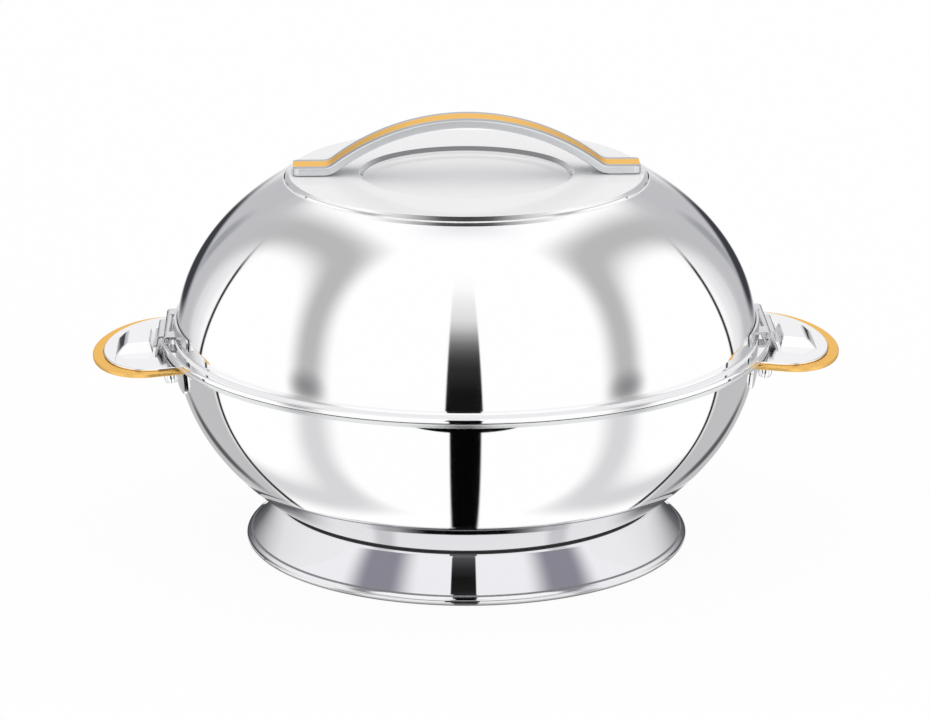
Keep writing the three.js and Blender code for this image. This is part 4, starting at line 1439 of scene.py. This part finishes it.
@dataclass(frozen=True)
class Lid:
    """The domed skin, the liner, the foam between them and its plug."""

    vessel: Vessel
    step_run: float = 2.8
    shoulder_share: float = 0.67
    recess_radius: float = 49.2
    recess_depth: float = 2.1
    recess_wall: float = 2.2
    top_space: float = 16.7
    liner_top_share: float = 0.847
    liner_inset: float = 3.3
    skirt_depth: float = 4.0
    skirt_clearance: float = 1.2
    rim_roll: float = 1.9
    pressed_round: float = 1.2
    ridge_round: float = 1.0
    neck_round: float = 0.4
    pocket_radius: float = 6.0
    pocket_depth: float = 6.7

    def build(self, finishes: Finishes) -> None:
        """Makes and dresses the lid's turned pieces."""
        make_piece("lid_dome_skin", self._dome(), finishes.domed, "lid", "lid_outer_dome", Slot.POLISHED)
        make_piece("lid_liner_skin", self._liner(), finishes.spun, "lid", "lid_inner_liner", Slot.SATIN)
        plug = fill_plug(self.vessel, self.liner_top)
        make_piece("lid_plug_moulded", plug, finishes.plastic, "lid", "lid_fill_plug", Slot.PLASTIC)
        make_piece("lid_foam_fill", self._foam(), finishes.foam, "lid", "lid_insulation", Slot.FOAM)

    @property
    def liner_top(self) -> float:
        """Height of the liner's flat top, inside."""
        return self.vessel.step_height - self.top_space

    def _liner_wall(self) -> list[Bend]:
        """Inner face of the liner, from its flat top's edge down to the rim."""
        v = self.vessel
        radius = v.mouth_radius - self.skirt_clearance - self.liner_inset
        semi = (self.liner_top - v.lid_rim) / self.liner_top_share
        return ellipse_run(radius, semi, v.lid_rim, self.liner_top, v.lid_rim, WALL_STEPS)

    def _foam(self) -> Facets:
        """The foam between the lid's two skins, with a pocket round each nut of the handle's studs."""
        v = self.vessel
        inset = v.sheet + v.seat
        recess = v.lid_top - self.recess_depth
        flat = [
            Bend(0, recess, 0),
            Bend(self.recess_radius - self.recess_wall, recess),
            Bend(self.recess_radius, v.lid_top),
            Bend(v.top_step_radius - self.step_run, v.lid_top),
        ]
        outer = beside([*flat, *v.dome_wall()], -inset)
        inner = beside([Bend(0, self.liner_top, 0), *self._liner_wall()], inset)
        foam = turned([*outer, Vector((v.dome_radius - inset, v.lid_rim)), *reversed(inner)])
        return self._holed(foam, self.pocket_radius, self.pocket_depth)

    def _holed(self, body: Facets, radius: float, depth: float) -> Facets:
        """A body with a round hole at each stud of the handle, from above the flat top down to a depth."""
        top = self.vessel.lid_top
        hole = bar(radius, top - depth, top + self.vessel.sheet)
        for x in LidHandle(self.vessel).stud_places:
            body = combined(body, hole.moved(Matrix.Translation((x, 0, 0))), Cut.REMOVE)
        return body

    def _dome(self) -> Facets:
        """The lid's skin: recess, flat top, stepped edge, dome and rim with its edge turned down."""
        v = self.vessel
        recess = v.lid_top - self.recess_depth
        flat_end = v.top_step_radius - self.step_run
        shoulder = v.top_step_radius - self.step_run * (1 - self.shoulder_share)
        path = [
            Bend(0, recess, 0),
            Bend(self.recess_radius - self.recess_wall, recess, self.pressed_round),
            Bend(self.recess_radius, v.lid_top, self.ridge_round),
            Bend(flat_end, v.lid_top, self.ridge_round),
            Bend(shoulder, v.lid_top - v.top_step_rise / 2, self.pressed_round),
            Bend(v.top_step_radius, v.step_height, self.neck_round),
            *v.dome_wall()[1:],
            Bend(v.dome_radius + v.sheet, v.lid_rim, self.neck_round),
            Bend(v.rim_radius, v.lid_rim, self.rim_roll),
            Bend(v.rim_radius, v.lid_hem),
        ]
        skin = turned(softened(sheet(path, -v.sheet)))
        return self._holed(skin, LidHandle(v).stud_radius + v.seat, v.top_step_rise)

    def _liner(self) -> Facets:
        """The lid's liner: wall, the skirt that drops into the bowl's mouth, and the flange."""
        v = self.vessel
        skirt = v.mouth_radius - self.skirt_clearance
        foot = v.base_rim_height - self.skirt_depth
        path = [
            Bend(v.plug_radius + v.seat, self.liner_top),
            *self._liner_wall(),
            Bend(skirt - self.liner_inset, foot, FOLD_ROUND),
            Bend(skirt, foot, FOLD_ROUND),
            Bend(skirt, v.liner_flange, FOLD_ROUND),
            Bend(v.rim_radius - v.sheet - 2 * v.seat, v.liner_flange),
        ]
        return turned(softened(sheet(path, v.sheet)))


@dataclass(frozen=True)
class LidHandle:
    """The arched strap, the gilt strip let into it, and the washers and nuts on its studs."""

    vessel: Vessel
    width: float = 17.5
    thickness: float = 3.8
    end_inset: float = 4.5
    foot_length: float = 13.5
    rise: float = 22.0
    bend_radius: float = 10.0
    corner: float = 3.0
    edge: float = 1.1
    inlay_width: float = 9.5
    inlay_thickness: float = 0.7
    stud_radius: float = 2.0
    stud_depth: float = 5.7
    stud_round: float = 0.4
    strap_round: float = 0.6
    groove_round: float = 0.2
    inlay_round: float = 0.25
    end_steps: int = 10
    arch_steps: int = 60

    def build(self, finishes: Finishes) -> None:
        """Makes and dresses the handle."""
        strap = self._swept(self._strap_section(), 0)
        low, high = self.vessel.lid_top - self.stud_depth, self.foot_height + self.thickness / 4
        stud = bar(self.stud_radius, low, high, self.stud_round)
        for x in self.stud_places:
            strap = strap.joined(stud.moved(Matrix.Translation((x, 0, 0))))
        make_piece("lid_handle_strap", strap, finishes.brushed, "lid", "lid_handle", Slot.POLISHED)
        strip = self._swept(self._inlay_section(), self.vessel.run)
        make_piece("lid_handle_strip", strip, finishes.gilt, "lid", "lid_handle_inlay", Slot.GILT)
        for kind in ("washer", "nut"):
            for side in ("left", "right"):
                dress_node(f"lid_handle_{kind}_{side}", finishes.spun, Slot.SATIN)

    @property
    def half_length(self) -> float:
        """Half the handle's length."""
        return self.vessel.top_step_radius - self.end_inset

    @property
    def foot_height(self) -> float:
        """Height of the underside of the feet."""
        return self.vessel.lid_top + self.vessel.seat

    @property
    def stud_places(self) -> Pair:
        """Where the studs stand along the handle."""
        reach = self.half_length - self.foot_length / 2
        return (-reach, reach)

    def _middle(self) -> list[tuple[Vector, Vector]]:
        """The strap's middle line: places with the upward normal at each."""
        foot_z = self.foot_height + self.thickness / 2
        span = self.half_length - self.foot_length
        radius = (span**2 + self.rise**2) / (2 * self.rise) - self.bend_radius
        arch_z = foot_z + self.rise - radius
        bend_z = foot_z + self.bend_radius
        lean = math.degrees(math.atan2(bend_z - arch_z, span))
        line = []
        for i in range(self.end_steps + 1):
            x = self.half_length - self.corner * (1 - math.cos(math.pi / 2 * i / self.end_steps))
            line.append((Vector((x, foot_z)), Vector((0, 1))))
        bend = arc_run((span, bend_z), self.bend_radius, 270, 180 + lean, CURVE_STEPS)
        line += [(b.point, (Vector((span, bend_z)) - b.point).normalized()) for b in bend]
        arch = arc_run((0, arch_z), radius, lean, 90, self.arch_steps)
        line += [(b.point, (b.point - Vector((0, arch_z))).normalized()) for b in arch[1:]]
        other = [(Vector((-p.x, p.y)), Vector((-n.x, n.y))) for p, n in reversed(line[:-1])]
        return line + other

    def _strap_section(self) -> list[Vector]:
        """The strap's section, across and up from its middle line, with the groove for the strip."""
        half, side = self.thickness / 2, self.width / 2
        groove = self.inlay_width / 2 + self.vessel.seat
        floor = half - self.inlay_thickness - self.vessel.seat
        right = [
            Bend(side, -half, self.strap_round),
            Bend(side, half, self.edge),
            Bend(groove, half, self.groove_round),
            Bend(groove, floor, FINE_ROUND),
        ]
        return softened(mirrored(right))

    def _inlay_section(self) -> list[Vector]:
        """The gilt strip's section."""
        half, side = self.thickness / 2, self.inlay_width / 2
        low = Bend(side, half - self.inlay_thickness, FINE_ROUND)
        return softened(mirrored([low, Bend(side, half, self.inlay_round)]))

    def _swept(self, section: Sequence[Vector], margin: float) -> Facets:
        """A section carried along the middle line, narrowed at the ends by the plan's round corners.

        Args:
            section: across and up from the middle line.
            margin: how far the plan is drawn in.

        Returns:
            The solid.
        """
        full = self.width / 2 - margin
        corner = self.corner - margin
        length = self.half_length - margin
        keep = self.inlay_width / 2 + self.vessel.seat
        corners, faces = [], []
        line = self._middle()
        for place, normal in line:
            x = max(-length, min(length, place.x))
            past = max(0.0, abs(x) - (length - corner))
            plan = full - corner + math.sqrt(max(0.0, corner**2 - past**2))
            for p in section:
                y = p.x
                if abs(y) > keep:
                    y = math.copysign(keep + (abs(y) - keep) * (plan - keep) / (full - keep), y)
                corners.append(Vector((x + normal.x * p.y, y, place.y + normal.y * p.y)))
        count = len(section)
        for i in range(len(line) - 1):
            for j in range(count):
                k = (j + 1) % count
                faces.append((i * count + j, i * count + k, (i + 1) * count + k, (i + 1) * count + j))
        faces += [range(count), range((len(line) - 1) * count, len(line) * count)]
        return Facets(corners, faces)


@dataclass(frozen=True)
class SideHandle:
    """One side's plate, band, bracket, bolts and cap nuts, made at +X and turned for the other side."""

    vessel: Vessel
    slope: float = 5.3
    root_gap: float = 0.4
    reach: float = 38.2
    half_width: float = 46.3
    curve: float = 29.2
    plan_root: float = 23.4
    plan_steps: int = 96
    band_thickness: float = 1.8
    tip_width: float = 5.1
    side_width: float = 3.8
    ledge: float = 2.5
    band_round: float = 0.6
    curve_inset: float = 1.6
    plate_thickness: float = 1.5
    proud: float = 1.0
    plate_round: float = 0.5
    rim_to_plate: float = 0.8
    toe_to_catch: float = 0.4
    catch_height: float = 4.2
    catch_inner_lean: float = 1.2
    catch_top: float = 11.2
    catch_outer_lean: float = 4.6
    catch_end_lean: float = 3.0
    catch_wall: float = 1.2
    catch_round: float = 1.3
    catch_cell: float = 0.4
    catch_inner_steps: int = 8
    bracket_sheet: float = 1.2
    saddle_height: float = 15.3
    saddle_corner: float = 9.0
    shelf_inset: float = 1.5
    shelf_reach: float = 11.0
    saddle_clearance: float = 0.5
    bolt_from_end: float = 3.6
    bolt_radius: float = 2.0
    bolt_head: float = 1.2
    bolt_edge: float = 0.2
    bolt_crease: float = 0.05
    nut_wall: float = 1.3
    nut_height: float = 6.8
    nut_blind: float = 1.6

    def build(self, finishes: Finishes) -> None:
        """Makes and dresses the pieces of both side handles."""
        shapes = {
            "plate": (self._plate(), finishes.pressed, Slot.POLISHED),
            "band": (self._band(), finishes.gilt, Slot.GILT),
            "bracket": (self._bracket(), finishes.pressed, Slot.POLISHED),
        }
        for side, turn in (("right", 0), ("left", math.pi)):
            spin = Matrix.Rotation(turn, 4, "Z")
            for kind, (shape, finish, slot) in shapes.items():
                node = f"{side}_handle_{kind}"
                make_piece(f"{node}_pressed", shape.moved(spin), finish, "base", node, slot)
            for i, y in enumerate((-self.bolt_y, self.bolt_y)):
                end = (("front", "rear") if side == "right" else ("rear", "front"))[i]
                for kind, shape in (("bolt", self._bolt(y)), ("cap_nut", self._cap_nut(y))):
                    node = f"{side}_handle_{kind}_{end}"
                    shape = shape.moved(spin)
                    make_piece(f"{node}_turned", shape, finishes.pressed, "base", node, Slot.POLISHED)

    @property
    def root(self) -> Pair:
        """Where the handle's own frame stands: out from the axis, and up."""
        v = self.vessel
        return v.bowl_radius + self.root_gap, v.bowl_widest - v.seat - self.rim_to_plate - self.proud

    @property
    def catch_start(self) -> float:
        """Where the catch starts, out from the handle's root."""
        return self.vessel.toe_end + self.toe_to_catch - self.root[0]

    def plate_top_at(self, out: float) -> float:
        """Height of the sloping plate's top face at a distance from the axis."""
        x, z = self.root
        slope = math.radians(self.slope)
        return z + self.proud / math.cos(slope) - (out - x) * math.tan(slope)

    @property
    def plate_low(self) -> float:
        """The plate's underside in the handle's own frame."""
        return self.proud - self.plate_thickness

    @property
    def plate_half(self) -> float:
        """Half the plate's width."""
        return self.half_width - self.side_width

    @property
    def saddle_half(self) -> float:
        """Half the saddle's width."""
        return self.plate_half - self.ledge - self.saddle_clearance

    @property
    def shelf_half(self) -> float:
        """Half the shelf's width."""
        return self.saddle_half - self.shelf_inset

    @property
    def nut_top(self) -> float:
        """Top of the cap nuts, against the shelf."""
        return self.plate_low - self.vessel.seat - self.bracket_sheet - self.vessel.seat

    @property
    def bolt_y(self) -> float:
        """How far the bolts stand from the middle."""
        return self.shelf_half - self.bolt_from_end

    @property
    def bolt_x(self) -> float:
        """How far the bolts stand out, so that their nuts clear the saddle."""
        v = self.vessel
        ring = v.bowl_radius + v.seat + self.bracket_sheet + v.seat + self.bolt_radius + self.nut_wall
        lean = self.nut_height * math.sin(math.radians(self.slope))
        return math.sqrt(ring**2 - self.bolt_y**2) - self.root[0] + lean

    def _placed(self, body: Facets) -> Facets:
        """Moves a solid from the handle's own frame to its place."""
        x, z = self.root
        place = Matrix.Translation((x, 0, z)) @ Matrix.Rotation(math.radians(self.slope), 4, "Y")
        return body.moved(place)

    def _plan(self, tip: float, half: float, curve: float, root_share: float = 1.0) -> list[Vector]:
        """The D outline: straight sides from inside the wall, then half an ellipse at the tip."""
        turns = [math.pi * (i / self.plan_steps - 1 / 2) for i in range(self.plan_steps + 1)]
        ends = [Vector((tip - curve + curve * math.cos(a), half * math.sin(a))) for a in turns]
        root = -self.plan_root * root_share
        return [Vector((root, -half)), *ends, Vector((root, half))]

    def _plate_plan(self, inset: float) -> list[Vector]:
        """The plate's outline, drawn in."""
        tip, curve = self.reach - self.tip_width, self.curve - self.curve_inset
        return self._plan(tip - inset, self.plate_half - inset, curve - inset)

    def _catch(self) -> Facets:
        """The catch as a pressed hump: the lowest of its leaning and flat faces, blended where they meet."""
        high = self.proud + self.catch_height
        inner = self.catch_start + self.catch_inner_lean
        outer = inner + self.catch_top
        end = outer + self.catch_outer_lean
        half = self.vessel.clip_width / 2
        low = self.plate_low + self.plate_round

        def blended(first: float, second: float) -> float:
            """The lesser of two heights, rounded where they are alike."""
            near = max(self.catch_round - abs(first - second), 0.0) / self.catch_round
            return min(first, second) - near * near * self.catch_round / 4

        def height(x: float, y: float) -> float:
            """The hump's height over a place."""
            faces = (
                self.proud + (x - self.catch_start) * self.catch_height / self.catch_inner_lean,
                self.proud + (end - x) * self.catch_height / self.catch_outer_lean,
                self.proud + (half - abs(y)) * self.catch_height / self.catch_end_lean,
            )
            top = high
            for face in faces:
                top = blended(top, face)
            return max(top, low + SUPPORT)

        steps = self.catch_inner_steps
        across = [self.catch_start + self.catch_inner_lean * i / steps for i in range(steps)]
        across += spaced(inner, end, self.catch_cell)
        along = spaced(-half, half, self.catch_cell)
        return hill([(x, y) for x in across for y in along], len(along), height, low)

    def _plate(self) -> Facets:
        """The plate with its raised, hollow catch and its bolt holes."""
        plate = raised(self._plate_plan(0), self.plate_low, self.proud, EDGE_ROUND, self.plate_round)
        whole = combined(combined(plate, self._catch(), Cut.JOIN), self._catch_hollow(), Cut.REMOVE)
        whole = combined(self._placed(whole), self.vessel.bowl_keep_out(self.vessel.seat), Cut.REMOVE)
        return self._bored(whole)

    def _catch_hollow(self) -> Facets:
        """The room inside the catch."""
        wall = self.catch_wall
        top = self.proud + self.catch_height
        inner = self.catch_start + self.catch_inner_lean
        outer = inner + self.catch_top
        end = outer + self.catch_outer_lean
        under = self.plate_low - CUT_OVERRUN
        half = self.vessel.clip_width / 2 - wall
        tunnel = across_y(
            [
                Vector((self.catch_start + wall, under)),
                Vector((self.catch_start + wall, self.proud)),
                Vector((inner + wall, top - wall)),
                Vector((outer, top - wall)),
                Vector((end - wall, self.proud - wall)),
                Vector((end - wall, under)),
            ],
            self.vessel.clip_width,
        )
        right = [Bend(half, under, 0), Bend(half, self.proud, 0), Bend(half - self.catch_end_lean, top, 0)]
        ends = along_x([b.point for b in mirrored(right)], 0, self.reach)
        return combined(tunnel, ends, Cut.KEEP)

    def _bored(self, body: Facets) -> Facets:
        """A solid with the clear holes for both bolts."""
        for y in (-self.bolt_y, self.bolt_y):
            body = combined(body, self._bolt(y, self.vessel.run), Cut.REMOVE)
        return body

    def _band(self) -> Facets:
        """The gilt band: an L-shaped frame whose ledge carries the plate."""
        plan = self._plan(self.reach, self.half_width, self.curve)
        blank = raised(plan, -self.band_thickness, 0, self.band_round, SHEET_ROUND)
        seat = raised(self._plate_plan(-self.vessel.seat), self.plate_low - self.vessel.seat, CUT_OVERRUN)
        hole = raised(self._plate_plan(self.ledge), -self.band_thickness - CUT_OVERRUN, CUT_OVERRUN)
        open_band = combined(combined(blank, seat, Cut.REMOVE), hole, Cut.REMOVE)
        return combined(self._placed(open_band), self.vessel.bowl_keep_out(self.vessel.seat), Cut.REMOVE)

    def _bracket(self) -> Facets:
        """The bracket: a saddle against the bowl and a shelf under the plate."""
        v = self.vessel
        shelf_top = self.plate_low - v.seat
        corner = self.saddle_corner
        places = [
            Bend(-self.shelf_reach, -self.shelf_half, FINE_ROUND),
            Bend(self.shelf_reach, -self.shelf_half, corner),
            Bend(self.shelf_reach, self.shelf_half, corner),
            Bend(-self.shelf_reach, self.shelf_half, FINE_ROUND),
        ]
        shelf_low = shelf_top - self.bracket_sheet
        shelf = self._placed(raised(softened(places), shelf_low, shelf_top, SHEET_ROUND, SHEET_ROUND))
        high = self.root[1] + shelf_top + self.bracket_sheet
        low = high - self.saddle_height
        face = rounded_rectangle(self.saddle_half, low, high + corner, corner)
        window = along_x(face, self.root[0] / 2, self.root[0] + self.shelf_reach)
        room = self._plan(self.reach, self.half_width, self.curve, root_share=2.0)
        above = self._placed(raised(room, shelf_top, self.reach))
        saddle = combined(v.bowl_keep_out(v.seat + self.bracket_sheet), window, Cut.KEEP)
        saddle = combined(saddle, above, Cut.REMOVE)
        bare = combined(combined(saddle, shelf, Cut.JOIN), v.bowl_keep_out(v.seat), Cut.REMOVE)
        return self._bored(bare)

    def _bolt(self, y: float, clearance: float = 0) -> Facets:
        """A countersunk bolt, or the clear hole for one."""
        top = self.proud + (CUT_OVERRUN if clearance else 0)
        shank = self.bolt_radius + clearance
        head = self.bolt_radius + self.bolt_head + clearance
        low = -(self.nut_height - self.nut_blind - self.vessel.seat - self.nut_top)
        profile = [
            Bend(0, top, 0),
            Bend(head, top, self.bolt_edge),
            Bend(head, self.proud - clearance - self.bolt_edge, self.bolt_crease),
            Bend(shank, self.proud - self.bolt_head - clearance, self.bolt_crease),
            Bend(shank, low, SHEET_ROUND),
            Bend(0, low, 0),
        ]
        made = turned(softened(profile), BAR_STEPS)
        return self._placed(made.moved(Matrix.Translation((self.bolt_x, y, 0))))

    def _cap_nut(self, y: float) -> Facets:
        """A round cap nut with a domed end and a blind bore."""
        radius = self.bolt_radius + self.nut_wall
        low = self.nut_top - self.nut_height
        bore = self.bolt_radius + self.vessel.run
        profile = [
            *[Bend(max(b.x, 0), b.z, 0) for b in arc_run((0, low + radius), radius, -90, 0, CURVE_STEPS)],
            Bend(radius, self.nut_top, SHEET_ROUND),
            Bend(bore, self.nut_top, FINE_ROUND),
            Bend(bore, low + self.nut_blind, FINE_ROUND),
            Bend(0, low + self.nut_blind, 0),
        ]
        made = turned(softened(profile), BAR_STEPS)
        return self._placed(made.moved(Matrix.Translation((self.bolt_x, y, 0))))


@dataclass(frozen=True)
class LockClip:
    """One side's strap with two eyes, pin and flap, made at +X and turned for the other side."""

    vessel: Vessel
    handle: SideHandle
    pin_radius: float = 0.85
    curl_wall: float = 0.75
    curl_gap: float = 0.6
    pin_end: float = 0.6
    pin_round: float = 0.35
    eye_length: float = 9.5
    web: float = 1.2
    strap_half: float = 43.0
    strap_height: float = 6.0
    strap_lift: float = 1.5
    strap_corner: float = 2.4
    sheet: float = 1.0
    bend_radius: float = 1.1
    above_plate: float = 2.0

    def build(self, finishes: Finishes) -> None:
        """Makes and dresses the clips of both sides."""
        strap, pin, flap = self._strap(), self._pin(), self._flap()
        for side, turn in (("right", 0), ("left", math.pi)):
            spin = Matrix.Rotation(turn, 4, "Z")
            for node, piece, shape, body in (
                (f"{side}_clip_bracket", f"{side}_clip_strap", strap, "lid"),
                (f"{side}_clip_pin", f"{side}_clip_hinge_pin", pin, "lid"),
                (f"{side}_clip_flap", f"{side}_clip_leaf", flap, f"{side}_clip"),
            ):
                make_piece(piece, shape.moved(spin), finishes.tumbled, body, node, Slot.POLISHED)

    @property
    def curl(self) -> float:
        """Outer radius of the curls round the pin."""
        return self.pin_radius + self.vessel.run + self.curl_wall

    @property
    def hinge(self) -> Pair:
        """The pin's place, out and up."""
        v = self.vessel
        out = v.dome_radius + v.seat + self.sheet + self.curl_gap + self.curl
        return out, v.lid_rim + v.seat + self.curl

    def _strap(self) -> Facets:
        """The strap along the dome's wall, with an eye on each side of the flap."""
        v = self.vessel
        x, z = self.hinge
        low = v.lid_rim + self.strap_lift
        face = rounded_rectangle(self.strap_half, low, low + self.strap_height, self.strap_corner)
        window = along_x(face, x / 2, x + self.curl)
        body = combined(v.dome_keep_out(v.seat + self.sheet), window, Cut.KEEP)
        start = v.clip_width / 2 + v.seat
        end = start + self.eye_length
        top = z + self.curl
        for side in (-1, 1):
            near, far = sorted((side * start, side * end))
            eye = bar_y(self.curl, near, far, self.hinge, SHEET_ROUND)
            root = x - self.eye_length
            plan = [Vector(place) for place in ((root, near), (x, near), (x, far), (root, far))]
            body = combined(combined(body, eye, Cut.JOIN), raised(plan, top - self.web, top), Cut.JOIN)
        hole = bar_y(self.pin_radius + v.run, -end - CUT_OVERRUN, end + CUT_OVERRUN, self.hinge)
        body = combined(body, hole, Cut.REMOVE)
        return combined(body, v.dome_keep_out(v.seat), Cut.REMOVE)

    def _pin(self) -> Facets:
        """The hinge pin with rounded ends."""
        end = self.vessel.clip_width / 2 + self.vessel.seat + self.eye_length + self.pin_end
        return bar_y(self.pin_radius, -end, end, self.hinge, self.pin_round)

    def _flap(self) -> Facets:
        """The flap: a curl round the pin, a plateau over the rim, and a dip that ends behind the catch."""
        x, z = self.hinge
        plateau = z - self.curl + self.sheet / 2
        toe_end = self.vessel.toe_end
        toe = self.handle.plate_top_at(toe_end) + self.above_plate + self.sheet / 2
        dip = self.vessel.rim_radius + self.vessel.clip_over_rim
        foot = dip + self.vessel.clip_dip_run
        middle = [Bend(x, plateau), Bend(dip, plateau), Bend(foot, toe), Bend(toe_end, toe)]
        rounds = (SHEET_ROUND, self.bend_radius, self.bend_radius, SHEET_ROUND)
        lower, upper = (
            [Bend(*spot, corner) for spot, corner in zip(beside(middle, step), rounds)]
            for step in (-self.sheet / 2, self.sheet / 2)
        )
        width = self.vessel.clip_width
        leaf = across_y(softened([*lower, *reversed(upper)]), width, EDGE_ROUND)
        curl = bar_y(self.curl, -width / 2, width / 2, self.hinge, SHEET_ROUND)
        hole = bar_y(self.pin_radius + self.vessel.run, -width, width, self.hinge)
        return combined(combined(leaf, curl, Cut.JOIN), hole, Cut.REMOVE)


@dataclass(frozen=True)
class LidCards:
    """The bands that the lid's rim, stepped edge and recess see: how far out, how high above, how strong."""

    vessel: Vessel
    yaw: float
    rim_out: float = 0.7
    rim_above: Pair = (2.2, 0.1)
    rim_fade: Stops = ((0.0, 1.0), (180.0, 1.0))
    step_out: Pair = (84.9, 79.8)
    step_above: float = 1.0
    step_fade: Stops = (
        (0.0, 1.0), (5.0, 0.98), (8.0, 0.95), (10.7, 0.83), (13.3, 0.69), (16.3, 0.58), (19.7, 0.42),
        (25.0, 0.26), (29.0, 0.1), (33.0, 0.0),
    )
    recess_out: Pair = (49.4, 44.0)
    recess_above: float = 0.7
    recess_fade: Stops = ((0.0, 1.0), (52.0, 1.0), (70.0, 0.0))

    def shades(self) -> tuple[Shade, ...]:
        """The bands of the rim, the step and the recess."""
        wall = self.vessel.dome_radius + self.rim_out
        rim = [(wall, self.vessel.lid_rim + above) for above in self.rim_above]
        step = [(out, self.vessel.lid_top + self.step_above) for out in self.step_out]
        recess = [(out, self.vessel.lid_top + self.recess_above) for out in self.recess_out]
        return (
            Shade("rim_card", *rim, "#F4F4F6", 0.0, self.rim_fade),
            Shade("step_card", *step, "#464646", -self.yaw, self.step_fade),
            Shade("recess_card", *recess, "#8A8A8C", 180.0 - self.yaw, self.recess_fade),
        )


def main() -> None:
    """Builds the scene: camera, studio, then each sub-assembly in turn."""
    logging.basicConfig(level=logging.INFO, format="%(name)s %(message)s")
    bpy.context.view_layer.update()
    viewpoint = Viewpoint()
    viewpoint.place()
    vessel = Vessel()
    Studio(viewpoint.yaw, shades=LidCards(vessel, viewpoint.yaw).shades()).build()
    # Painted shade on the foot: in the seam under the bowl, in the crease above the bead, and along the
    # bead's foot on the floor.
    foot_painted_shades = (
        Line(height=vessel.foot_height + vessel.seat / 2, half=0.85, soft=0.1, tone="#4B4B4D"),
        Line(height=4.1, half=0.15, soft=0.3, tone="#8A8A8D"),
        Line(height=0.0, half=0.4, soft=2.0, tone="#7A7A7C"),
    )
    lid_lines = (
        Line(height=vessel.lid_top, half=0.1, soft=0.1, tone="#F7F7F8", share=0.9),
        Line(height=vessel.lid_top - Lid.recess_depth, half=0.1, soft=0.2, tone="#F7F7F8", share=0.85),
    )
    finishes = Finishes.make(foot_painted_shades, lid_lines)
    handle = SideHandle(vessel)
    for assembly in (Base(vessel), Lid(vessel), LidHandle(vessel), handle, LockClip(vessel, handle)):
        assembly.build(finishes)


if __name__ == "__main__":
    main()
